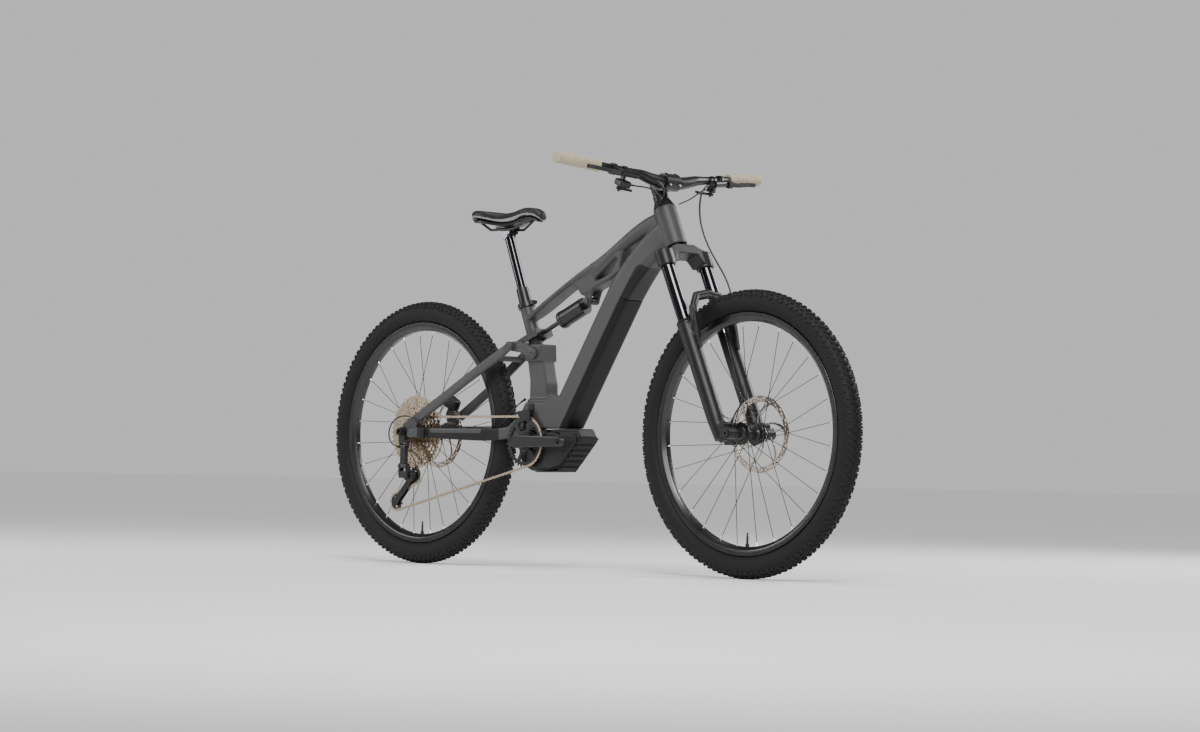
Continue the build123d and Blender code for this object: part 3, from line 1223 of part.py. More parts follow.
def derailleur_cage():
    """Two cage plates with the pulley bolts, and the pin that turns in the knuckle."""
    gx, gz = GUIDE_PULLEY
    tx, tz = TENSION_PULLEY
    shapes = []
    along = Vector(tx - gx, 0, tz - gz).normalized()
    side = Vector(-along.Z, 0, along.X)
    for s in (-1, 1):
        y0, y1 = CHAIN_Y + s * CAGE_HALF, CHAIN_Y + s * (CAGE_HALF + CAGE_PLATE)
        corners = []
        for (x, z), sign in (((gx, gz), 1), ((tx, tz), 1), ((tx, tz), -1), ((gx, gz), -1)):
            corners.append((x + sign * 9 * side.X, z + sign * 9 * side.Z))
        shapes.append(plate(corners, y0, y1))
        shapes.append(disc(GUIDE_PULLEY, 12, y0, y1))
        shapes.append(disc(TENSION_PULLEY, 12, y0, y1))
    for place in (GUIDE_PULLEY, TENSION_PULLEY):
        shapes.append(disc(place, PULLEY_BOLT_R, CHAIN_Y - CAGE_HALF - 1, CHAIN_Y + CAGE_HALF + 1))
    outer = CHAIN_Y - CAGE_HALF - CAGE_PLATE
    shapes.append(disc(GUIDE_PULLEY, 6, outer - 12, outer + 0.5))
    return joined(shapes)


def derailleur_knuckle():
    """Spring housing around the cage pin, with ears for the lower shift pin."""
    outer = CHAIN_Y - CAGE_HALF - CAGE_PLATE
    drum = disc(GUIDE_PULLEY, KNUCKLE_R, outer - GAP, outer - 20)
    x0, x1 = LINK_X
    shapes = [drum]
    for a, b in ((x0 - 6.5, x0 - GAP), (x1 + GAP, x1 + 6.5)):
        shapes.append(rod(at(a, LINK_LOW, LINK_Y), at(b, LINK_LOW, LINK_Y), 8))
        block = Location(at((a + b) / 2, LINK_LOW - 14, LINK_Y + 3)) * Box(b - a, 16, 26)
        shapes.append(block)
    shapes.append(Location(at((x0 + x1) / 2, LINK_LOW - 24, LINK_Y + 4)) * Box(x1 - x0 + 13, 16, 20))
    shapes.append(rod(at(x0 - 6, LINK_LOW, LINK_Y), at(x1 + 6, LINK_LOW, LINK_Y), 3))
    solid = joined(shapes)
    return solid - disc(GUIDE_PULLEY, 6 + RUN, outer + 2, outer - 14)


def derailleur_link():
    x0, x1 = LINK_X
    shapes = [
        rod(at(x0, LINK_TOP, LINK_Y), at(x1, LINK_TOP, LINK_Y), 7),
        rod(at(x0, LINK_LOW, LINK_Y), at(x1, LINK_LOW, LINK_Y), 7),
        Location(at((x0 + x1) / 2, (LINK_TOP + LINK_LOW) / 2, LINK_Y))
        * Box(x1 - x0, 11, LINK_TOP - LINK_LOW),
    ]
    solid = joined(shapes)
    for z in (LINK_TOP, LINK_LOW):
        solid = solid - rod(at(x0 - 1, z, LINK_Y), at(x1 + 1, z, LINK_Y), 3 + RUN)
    return solid


def derailleur_mount():
    """Direct mount around the rear axle's end, with ears for the upper shift pin."""
    face = REAR_DROPOUT_HALF + DROPOUT_THICK + SEAT
    x0, x1 = LINK_X
    shapes = [disc((0, 0), 13.5, -face, -face - 11), disc((0, 0), 10.5, -face - 10, -face - 20)]
    shapes.append(plate([(-10, -6), (10, -6), (18, -28), (-8, -28)], -face, -face - 11))
    shapes.append(Location(at((x0 + x1) / 2, -30, LINK_Y)) * Box(x1 - x0 + 13, 10, 8))
    for a, b in ((x0 - 6.5, x0 - GAP), (x1 + GAP, x1 + 6.5)):
        shapes.append(rod(at(a, LINK_TOP, LINK_Y), at(b, LINK_TOP, LINK_Y), 8))
        shapes.append(Location(at((a + b) / 2, LINK_TOP + 8, LINK_Y)) * Box(b - a, 10, 14))
    shapes.append(rod(at(x0 - 6, LINK_TOP, LINK_Y), at(x1 + 6, LINK_TOP, LINK_Y), 3))
    return joined(shapes) - disc((0, 0), REAR_AXLE_R + SEAT, -120, 0)


def chain_guide():
    """Upper chain guide on the foot of the frame tower."""
    x = BB[0]
    out, inn = CHAIN_Y - 7.2, CHAIN_Y + 5.0
    face = -DOWN_TUBE_WIDTH / 2 - SEAT
    base = plate([(x + 1, 50), (x + 26, 50), (x + 22, 80), (x + 6, 80)], face, face - 3.5)
    arm = plate([(x - 2, 54), (x - 2, 60), (x + 24, 62), (x + 24, 54)], face, out)
    top = [(x - 26, 52), (x - 24, 58), (x + 18, 63), (x + 26, 50), (x + 20, 50), (x, 52.5)]
    roof = plate(top, out, inn + 2.4)
    side = [(x - 26, 52), (x - 24, 56), (x + 18, 60), (x + 26, 50), (x + 26, 34), (x - 10, 36)]
    outer = plate(side, out, out + 2.4)
    return joined(base, arm, roof, outer)


# ================================================================ hoses and cable housings
def cord(points, diameter, name):
    """A round tube along straight runs with the largest tangent arcs; its length is printed."""
    points = [Vector(p) for p in points]
    radii = []
    for before, here, after in zip(points, points[1:], points[2:]):
        a, b = here - before, after - here
        turn = a.get_angle(b)
        radii.append(0.45 * min(a.length, b.length) / tan(radians(turn / 2)))
    path = FilletPolyline(*points, radius=radii)
    start = Plane(origin=path @ 0, z_dir=path % 0)
    tube = sweep(start * Circle(diameter / 2), path=path)
    print(f"{name}: length {path.length:.0f}, least radius {min(radii):.0f}")
    return tube


def local_on_bar(y, ahead, up, outward):
    """A world point in the bar frame at y."""
    plane = bar_frame(y)
    return plane.origin + plane.x_dir * ahead + plane.y_dir * (up * up_sign(y)) + plane.z_dir * outward


def front_brake_hose():
    start = local_on_bar(LEVER_PIVOT_Y, BAR_R + 15, 0, -64 - SEAT)
    route = [
        start, at(988, 668, 115), at(991, 655, 96), at(989, 634, 88), at(986, 605, 88),
        at(988, 570, 90), at(999, 533, 93), at(1018, 495, 96), at(1046, 455, 99), at(1076, 415, 101),
        at(1096, 371, 102), at(1103, 325, 103), at(1109, 280, 103), at(1120, 232, 103),
        at(1137, 184, 103), at(1153, 137, 102), at(1160, 98, 94), at(1158, 72, 74), at(1157, 52, 55),
        at(1158, 30.2, 45),
    ]
    return cord(route, 5.0, "front_brake_hose")


def rear_brake_hose():
    start = local_on_bar(-LEVER_PIVOT_Y, BAR_R + 15, 0, -64 - SEAT)
    second = local_on_bar(-LEVER_PIVOT_Y, BAR_R + 15, 0, -88)
    route = [start, second, at(996, 664, -84), at(993, 650, -60), at(980, 637, -40), at(962, 628, -27)]
    return cord(route, 5.0, "rear_brake_hose")


def shift_housing():
    start = local_on_bar(-POD_Y, 12, -30, -17 - GAP)
    second = local_on_bar(-POD_Y, 12, -30, -44)
    route = [start, second, at(976, 646, -96), at(981, 634, -70), at(975, 621, -48), at(961, 611, -33)]
    return cord(route, 4.0, "shift_housing")


def dropper_housing():
    start = local_on_bar(POD_Y, 8, -20, -9 - GAP)
    second = local_on_bar(POD_Y, 8, -20, -38)
    route = [start, second, at(980, 652, 102), at(984, 638, 76), at(976, 622, 52), at(961, 612, 34)]
    return cord(route, 4.0, "dropper_housing")


def chainstay_hose():
    route = [
        at(457, 92, -37), at(447, 84, -43), at(431, 72, -45), at(412, 57, -45), at(392, 42, -44),
        at(374, 28, -42.5), at(359, 15, -41.5),
    ]
    return cord(route, 4.0, "chainstay_hose")


def derailleur_housing():
    route = [
        at(80, 14.5, -78), at(70, 26, -83), at(52, 37, -86), at(27, 44, -87), at(0, 44, -87),
        at(-27, 37, -87), at(-48, 20, -87), at(-57, -5, -87), at(-50, -29, -86), at(-30, -42, -84),
        at(-8.8, -44, -84),
    ]
    return cord(route, 4.0, "derailleur_housing")


# ================================================================ the bike
FRONT_BORE = FRONT_AXLE_R + RUN
REAR_BORE = REAR_AXLE_R + RUN


def rear_hub():
    """Rear hub shell on the left of the cassette, with the tube that the cassette runs on."""
    shell = hub(REAR_AXLE, REAR_HUB_END, CASSETTE_END + GAP, *REAR_FLANGES, REAR_BORE, REAR_BARREL_R, 11.0)
    sleeve = disc((0, 0), CASSETTE_BORE - RUN, -REAR_HUB_END, REAR_FLANGES[1])
    sleeve = sleeve - disc((0, 0), REAR_BORE, -100, 100)
    seat_for_rotor = disc((0, 0), ROTOR_BORE - SEAT, REAR_FLANGES[0] + 6, REAR_ROTOR_Y + 3)
    seat_for_rotor = seat_for_rotor - disc((0, 0), REAR_BORE, -100, 100)
    return joined(shell, sleeve, seat_for_rotor)


def front_hub():
    shell = hub(FRONT_AXLE, FRONT_HUB_END, -FRONT_HUB_END, *FRONT_FLANGES, FRONT_BORE, FRONT_BARREL_R, 11.0)
    x = WHEELBASE
    seat_for_rotor = disc((x, 0), ROTOR_BORE - SEAT, FRONT_FLANGES[0] + 6, FRONT_ROTOR_Y + 3)
    seat_for_rotor = seat_for_rotor - disc((x, 0), FRONT_BORE, -100, 100)
    return joined(shell, seat_for_rotor)


ROTOR_BORE = 17.0


NODES = {
    "main_frame": main_frame,
    "battery_cover": battery_cover,
    "battery_pack": battery_pack,
    "drive_unit": drive_unit,
    "motor_skid_plate": motor_skid_plate,
    "frame_hardware": lambda: headset() + [seat_clamp(), seat_clamp_bolt(), shock_bolt()],
    "dropper_outer_tube": dropper_outer_tube,
    "dropper_upper_tube": dropper_upper_tube,
    "saddle_frame": lambda: [saddle_shell()] + saddle_rails(),
    "saddle_cover": saddle_cover,
    "chain_guide": chain_guide,
    "fork_crown": lambda: [fork_crown()] + fork_caps(),
    "fork_stanchions": fork_stanchions,
    "fork_lowers": lambda: [fork_lowers(), rebound_knob()],
    "front_axle": front_axle,
    "front_caliper": lambda: caliper(FRONT_AXLE, FRONT_ROTOR_Y, FRONT_CALIPER_TURN, 100, 34),
    "headset_spacers": headset_spacers,
    "stem": lambda: stem() + stem_faceplate(),
    "handlebar": handlebar,
    "grips": grips,
    "brake_masters": brake_masters,
    "brake_lever_left": lambda: brake_lever(1),
    "brake_lever_right": lambda: brake_lever(-1),
    "bar_controls": lambda: [shifter_pod(), dropper_remote()],
    "shift_lever_up": lambda: shift_lever(0, 60, 30),
    "shift_lever_down": lambda: shift_lever(1, 100, 36),
    "dropper_lever": dropper_lever,
    "front_tyre": lambda: tyre(FRONT_AXLE),
    "front_rim": lambda: rim(FRONT_AXLE),
    "front_spokes": lambda: spokes(FRONT_AXLE, *FRONT_FLANGES),
    "front_hub": front_hub,
    "front_rotor": lambda: rotor(FRONT_AXLE, FRONT_ROTOR_Y, ROTOR_BORE),
    "rear_tyre": lambda: tyre(REAR_AXLE),
    "rear_rim": lambda: rim(REAR_AXLE),
    "rear_spokes": lambda: spokes(REAR_AXLE, *REAR_FLANGES),
    "rear_hub": rear_hub,
    "rear_rotor": lambda: rotor(REAR_AXLE, REAR_ROTOR_Y, ROTOR_BORE),
    "cassette": cassette,
    "chainstays": lambda: [chainstays(), main_pivot_axle()],
    "chainstay_guard": chainstay_guard,
    "seatstays": lambda: [seatstays()] + stay_caps(),
    "rear_axle": lambda: [rear_axle(), derailleur_mount()],
    "rear_caliper": lambda: caliper(REAR_AXLE, REAR_ROTOR_Y, REAR_CALIPER_TURN, 100, 34),
    "rocker_link": rocker_link,
    "shock_can": shock_can,
    "shock_shaft": shock_shaft,
    "crank_arms": lambda: crank_arms() + [crank_spindle()],
    "chainring": chainring,
    "chain": chain,
    "derailleur_link": derailleur_link,
    "derailleur_knuckle": derailleur_knuckle,
    "derailleur_cage": derailleur_cage,
    "guide_pulley": lambda: pulley(GUIDE_PULLEY),
    "tension_pulley": lambda: pulley(TENSION_PULLEY),
    "front_brake_hose": front_brake_hose,
    "rear_brake_hose": rear_brake_hose,
    "shift_housing": shift_housing,
    "dropper_housing": dropper_housing,
    "chainstay_hose": chainstay_hose,
    "derailleur_housing": derailleur_housing,
}

if __name__ == "__main__":
    os.makedirs("parts", exist_ok=True)
    for name, make in NODES.items():
        made = make()
        made = made if isinstance(made, list) else [made]
        solids = [solid for shape in made for solid in shape.solids()]
        export_step(Compound(children=solids) if len(solids) > 1 else solids[0], f"parts/{name}.step")
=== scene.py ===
import json
import math

import bpy
import bmesh
from mathutils import Matrix, Vector

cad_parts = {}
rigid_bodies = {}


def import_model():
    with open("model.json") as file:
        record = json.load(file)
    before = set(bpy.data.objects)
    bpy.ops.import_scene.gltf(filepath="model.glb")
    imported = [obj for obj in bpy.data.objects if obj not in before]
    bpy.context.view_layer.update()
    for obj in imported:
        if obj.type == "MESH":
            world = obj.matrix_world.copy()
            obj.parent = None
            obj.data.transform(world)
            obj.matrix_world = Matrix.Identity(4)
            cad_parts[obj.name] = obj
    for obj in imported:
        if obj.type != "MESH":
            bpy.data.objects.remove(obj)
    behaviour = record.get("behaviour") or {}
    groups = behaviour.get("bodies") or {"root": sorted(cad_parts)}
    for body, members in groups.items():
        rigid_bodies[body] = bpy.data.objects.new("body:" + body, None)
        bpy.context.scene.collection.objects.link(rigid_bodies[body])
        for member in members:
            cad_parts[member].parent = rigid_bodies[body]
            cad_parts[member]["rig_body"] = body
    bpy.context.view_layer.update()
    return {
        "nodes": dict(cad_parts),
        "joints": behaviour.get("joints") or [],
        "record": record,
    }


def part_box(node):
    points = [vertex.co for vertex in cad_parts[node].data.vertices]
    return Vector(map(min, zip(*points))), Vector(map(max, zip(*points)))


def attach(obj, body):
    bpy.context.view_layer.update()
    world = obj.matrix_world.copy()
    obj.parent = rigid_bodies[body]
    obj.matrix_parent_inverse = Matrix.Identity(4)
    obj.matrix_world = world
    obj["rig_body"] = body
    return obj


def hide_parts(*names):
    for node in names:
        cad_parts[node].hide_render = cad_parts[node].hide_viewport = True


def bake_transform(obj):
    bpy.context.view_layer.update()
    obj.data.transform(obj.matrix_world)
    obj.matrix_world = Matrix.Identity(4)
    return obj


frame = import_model()
NODES = frame["nodes"]
JOINTS = {j["name"]: j for j in frame["joints"]}
SLOT_OF = {s["node"]: s["material_slot"] for s in frame["record"]["subparts"]}
MM = 0.001


def linked(name, data):
    """A new object in the scene."""
    obj = bpy.data.objects.new(name, data)
    bpy.context.scene.collection.objects.link(obj)
    return obj


def joint_at(name):
    return Vector(JOINTS[name]["pos_m"])


# Places that the pieces are built from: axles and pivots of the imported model.
FRONT_AXLE = joint_at("front_wheel_spin")
REAR_AXLE = joint_at("rear_wheel_spin")
CRANK_AXLE = joint_at("crank_spin")
STEER_BASE = joint_at("steering")
STEER_UP = Vector(JOINTS["steering"]["axis"]).normalized()
STEER_AHEAD = Vector((STEER_UP.z, 0, -STEER_UP.x))
SEAT_UP = -Vector(JOINTS["post_drop"]["axis"]).normalized()
ACROSS = Vector((0, 1, 0))
CHAIN_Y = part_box("guide_pulley")[0].y / 2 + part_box("guide_pulley")[1].y / 2


def behind(x, z, y=0.0):
    """A point from its place ahead of the rear axle, above it and to the left, in mm."""
    return REAR_AXLE + Vector((x, y, z)) * MM


def steer(ahead, y, up):
    """A point on the steered parts, in mm from the foot of the head tube."""
    return STEER_BASE + STEER_AHEAD * (ahead * MM) + ACROSS * (y * MM) + STEER_UP * (up * MM)


# ================================================================ camera
def make_camera():
    azimuth, pitch, roll = math.radians(45.23), math.radians(-2.05), math.radians(1.14)
    data = bpy.data.cameras.new("camera")
    data.lens, data.sensor_width = 94.59, 36.0
    camera = linked("camera", data)
    level = Vector((-math.sin(azimuth), math.cos(azimuth), 0))
    ahead = level * math.cos(pitch) - Vector((0, 0, math.sin(pitch)))
    right = Vector((math.cos(azimuth), math.sin(azimuth), 0))
    up = right.cross(ahead)
    right, up = (
        right * math.cos(roll) + up * math.sin(roll),
        up * math.cos(roll) - right * math.sin(roll),
    )
    turn = Matrix((right, up, -ahead)).transposed()
    camera.matrix_world = Matrix.Translation((6.1421, -6.0153, 0.2515)) @ turn.to_4x4()
    bpy.context.scene.camera = camera


# ================================================================ materials
COVER_BLACK = (0.0062, 0.0062, 0.0066)
ZONE_BLACK = (0.0030, 0.0030, 0.0032)     # deeper, to match the cover under the paint's gloss
COVER_SEAM = 22.0     # ahead of the down tube's centre line
COVER_TOP = 112.0     # above the down tube's upper end


def material(name, colour, rough, metal=0.0, mottle=0.12, patch=0.03, grain=0.0008, relief=0.0,
             coat=0.0, sheen=0.0, wear=0.0, stretch=(1, 1, 1), gloss=0.5):
    """A procedural finish: patchy colour and roughness, a fine grain in relief, and worn edges.

    patch and grain are the sizes of the colour patches and of the grain, in metres, and relief
    is the grain's height. stretch draws both out along an axis, as turning or brushing does."""
    made = bpy.data.materials.new(name)
    made.use_nodes = True
    nodes, links = made.node_tree.nodes, made.node_tree.links
    shader = nodes["Principled BSDF"]
    place = nodes.new("ShaderNodeTexCoord")
    scale = nodes.new("ShaderNodeMapping")
    scale.inputs["Scale"].default_value = stretch
    links.new(place.outputs["Object"], scale.inputs["Vector"])

    def noise(size, detail):
        made_noise = nodes.new("ShaderNodeTexNoise")
        made_noise.inputs["Scale"].default_value = 1.0 / size
        made_noise.inputs["Detail"].default_value = detail
        links.new(scale.outputs["Vector"], made_noise.inputs["Vector"])
        return made_noise.outputs["Fac"]

    patches, fine = noise(patch, 4.0), noise(grain, 2.0)
    shades = nodes.new("ShaderNodeMix")
    shades.data_type = "RGBA"
    shades.inputs["A"].default_value = (*[c * (1 - mottle) for c in colour], 1)
    shades.inputs["B"].default_value = (*[c * (1 + mottle) for c in colour], 1)
    links.new(patches, shades.inputs["Factor"])
    colour_out = shades.outputs["Result"]
    if wear:
        edges = nodes.new("ShaderNodeNewGeometry")
        bright = nodes.new("ShaderNodeMapRange")
        bright.inputs["From Min"].default_value = 0.53
        bright.inputs["From Max"].default_value = 0.62
        bright.inputs["To Max"].default_value = wear
        links.new(edges.outputs["Pointiness"], bright.inputs["Value"])
        worn = nodes.new("ShaderNodeMix")
        worn.data_type = "RGBA"
        worn.inputs["B"].default_value = (*[min(1.0, c * 2.2 + 0.02) for c in colour], 1)
        links.new(bright.outputs["Result"], worn.inputs["Factor"])
        links.new(colour_out, worn.inputs["A"])
        colour_out = worn.outputs["Result"]
    links.new(colour_out, shader.inputs["Base Color"])
    dull = nodes.new("ShaderNodeMapRange")
    dull.inputs["To Min"].default_value = max(0.02, rough - 0.07)
    dull.inputs["To Max"].default_value = min(1.0, rough + 0.07)
    links.new(patches, dull.inputs["Value"])
    links.new(dull.outputs["Result"], shader.inputs["Roughness"])
    if relief:
        bump = nodes.new("ShaderNodeBump")
        bump.inputs["Distance"].default_value = relief
        bump.inputs["Strength"].default_value = 0.6
        links.new(fine, bump.inputs["Height"])
        links.new(bump.outputs["Normal"], shader.inputs["Normal"])
    shader.inputs["Metallic"].default_value = metal
    shader.inputs["Specular IOR Level"].default_value = gloss
    shader.inputs["Coat Weight"].default_value = coat
    shader.inputs["Coat Roughness"].default_value = 0.08
    shader.inputs["Sheen Weight"].default_value = sheen
    return made


PAINT_GREY = (0.045, 0.0453, 0.0464)


def paint(name):
    return material(name, PAINT_GREY, 0.46, mottle=0.05, patch=0.09, grain=0.0005, relief=0.00002,
                    wear=0.2, gloss=0.32)


LOOKS = {
    "paint": paint("paint"),
    "frame_paint": paint("frame_paint"),
    "cover": material("cover", COVER_BLACK, 0.55, mottle=0.2, grain=0.0009, relief=0.00004, gloss=0.22),
    "casing": material("casing", (0.0085, 0.0085, 0.009), 0.45, mottle=0.2, patch=0.02, grain=0.0011,
                       relief=0.00006, wear=0.25, gloss=0.3),
    "fork": material("fork", (0.0085, 0.0085, 0.009), 0.42, mottle=0.15, grain=0.0012, relief=0.00004,
                     wear=0.2, gloss=0.35),
    "alloy": material("alloy", (0.013, 0.013, 0.014), 0.33, metal=0.25, mottle=0.15, grain=0.0006,
                      relief=0.00002, wear=0.3),
    "steel": material("steel", (0.50, 0.49, 0.47), 0.3, metal=1.0, mottle=0.1, patch=0.006,
                      stretch=(1, 8, 1)),
    "spoke": material("spoke", (0.020, 0.020, 0.021), 0.30, metal=0.6, patch=0.01),
    "nipple": material("nipple", (0.75, 0.74, 0.72), 0.22, metal=1.0, patch=0.004),
    "stanchion": material("stanchion", (0.075, 0.075, 0.082), 0.11, metal=1.0, mottle=0.06, patch=0.02,
                          stretch=(1, 1, 0.1)),
    "rotor": material("rotor", (0.46, 0.40, 0.35), 0.34, metal=1.0, mottle=0.2, patch=0.012,
                      grain=0.0007, relief=0.00002),
    "cassette": material("cassette", (0.42, 0.34, 0.25), 0.3, metal=1.0, mottle=0.2, patch=0.008),
    "chain": material("chain", (0.44, 0.36, 0.28), 0.33, metal=1.0, mottle=0.25, patch=0.004),
    "rubber": material("rubber", (0.0055, 0.0055, 0.0055), 0.68, mottle=0.25, grain=0.0007,
                       relief=0.00005, gloss=0.25),
    "tyre": material("tyre", (0.0085, 0.0083, 0.0082), 0.66, mottle=0.35, patch=0.02, grain=0.0007,
                     relief=0.00008, wear=0.18, gloss=0.22),
    "grip": material("grip", (0.37, 0.31, 0.215), 0.62, mottle=0.06, patch=0.012, grain=0.0012,
                     relief=0.00003, sheen=0.15),
    "rim": material("rim", (0.0045, 0.0045, 0.005), 0.3, mottle=0.1, coat=0.2),
    "saddle": material("saddle", (0.0095, 0.0095, 0.010), 0.48, mottle=0.2, patch=0.015, grain=0.0013,
                       relief=0.00007, gloss=0.35),
    "saddle_edge": material("saddle_edge", (0.24, 0.24, 0.24), 0.45, mottle=0.08, grain=0.0012,
                            relief=0.00012),
    "hose": material("hose", (0.006, 0.006, 0.0065), 0.36, mottle=0.15),
    "stay_paint": paint("stay_paint"),
    "red": material("red", (0.42, 0.012, 0.012), 0.3, metal=0.6, mottle=0.12),
    "floor": material("floor", (0.84, 0.84, 0.835), 0.7, mottle=0.02, patch=0.4, grain=0.01,
                      relief=0.0002),
}


def painted_zone(look, colour, centre, along, across, half_long, half_wide, corner, side=None):
    """Paints a straight-edged zone with rounded corners on a finish, seen square to along and across.

    The zone runs half_long and half_wide (mm) each way from its centre. side keeps it to y below it."""
    nodes, links = LOOKS[look].node_tree.nodes, LOOKS[look].node_tree.links
    shader = nodes["Principled BSDF"]
    place = nodes.new("ShaderNodeTexCoord")
    gather = nodes.new("ShaderNodeCombineXYZ")

    def sums(operation, *values):
        made = nodes.new("ShaderNodeMath")
        made.operation = operation
        for index, value in enumerate(values):
            if isinstance(value, (int, float)):
                made.inputs[index].default_value = value
            else:
                links.new(value, made.inputs[index])
        return made.outputs["Value"]

    for name, direction, half in (("X", along, half_long), ("Y", across, half_wide)):
        reach = nodes.new("ShaderNodeVectorMath")
        reach.operation = "DOT_PRODUCT"
        reach.inputs[1].default_value = direction
        links.new(place.outputs["Object"], reach.inputs[0])
        off = sums("ABSOLUTE", sums("SUBTRACT", reach.outputs["Value"], centre.dot(direction)), 0.0)
        links.new(sums("MAXIMUM", sums("SUBTRACT", off, (half - corner) * MM), 0.0), gather.inputs[name])
    length = nodes.new("ShaderNodeVectorMath")
    length.operation = "LENGTH"
    links.new(gather.outputs["Vector"], length.inputs[0])
    inside = sums("LESS_THAN", length.outputs["Value"], corner * MM)
    if side is not None:
        split = nodes.new("ShaderNodeSeparateXYZ")
        links.new(place.outputs["Object"], split.inputs["Vector"])
        inside = sums("MULTIPLY", inside, sums("LESS_THAN", split.outputs["Y"], side * MM))
    over = nodes.new("ShaderNodeMix")
    over.data_type = "RGBA"
    over.inputs["B"].default_value = (*colour, 1)
    links.new(inside, over.inputs["Factor"])
    links.new(shader.inputs["Base Color"].links[0].from_socket, over.inputs["A"])
    links.new(over.outputs["Result"], shader.inputs["Base Color"])


def paint_zones():
    """The battery cover's black carried up the down tube, and the guard and its inset on the stay."""
    low, high = behind(597, 50), STEER_BASE + Vector((-183, 0, -118.5)) * MM
    along = (high - low).normalized()
    ahead = Vector((along.z, 0, -along.x))
    top = (high - low).length / MM + COVER_TOP
    centre = low + along * (top - 300) * MM + ahead * (COVER_SEAM + 60) * MM
    painted_zone("frame_paint", ZONE_BLACK, centre, along, ahead, 300, 60, 26)
    forward, up = Vector((1, 0, 0)), Vector((0, 0, 1))
    painted_zone("stay_paint", ZONE_BLACK, behind(215, 6), forward, up, 150, 40, 12, side=-20)
    painted_zone("stay_paint", PAINT_GREY, behind(205, 5), forward, up, 95, 7.5, 5, side=-20)


paint_zones()


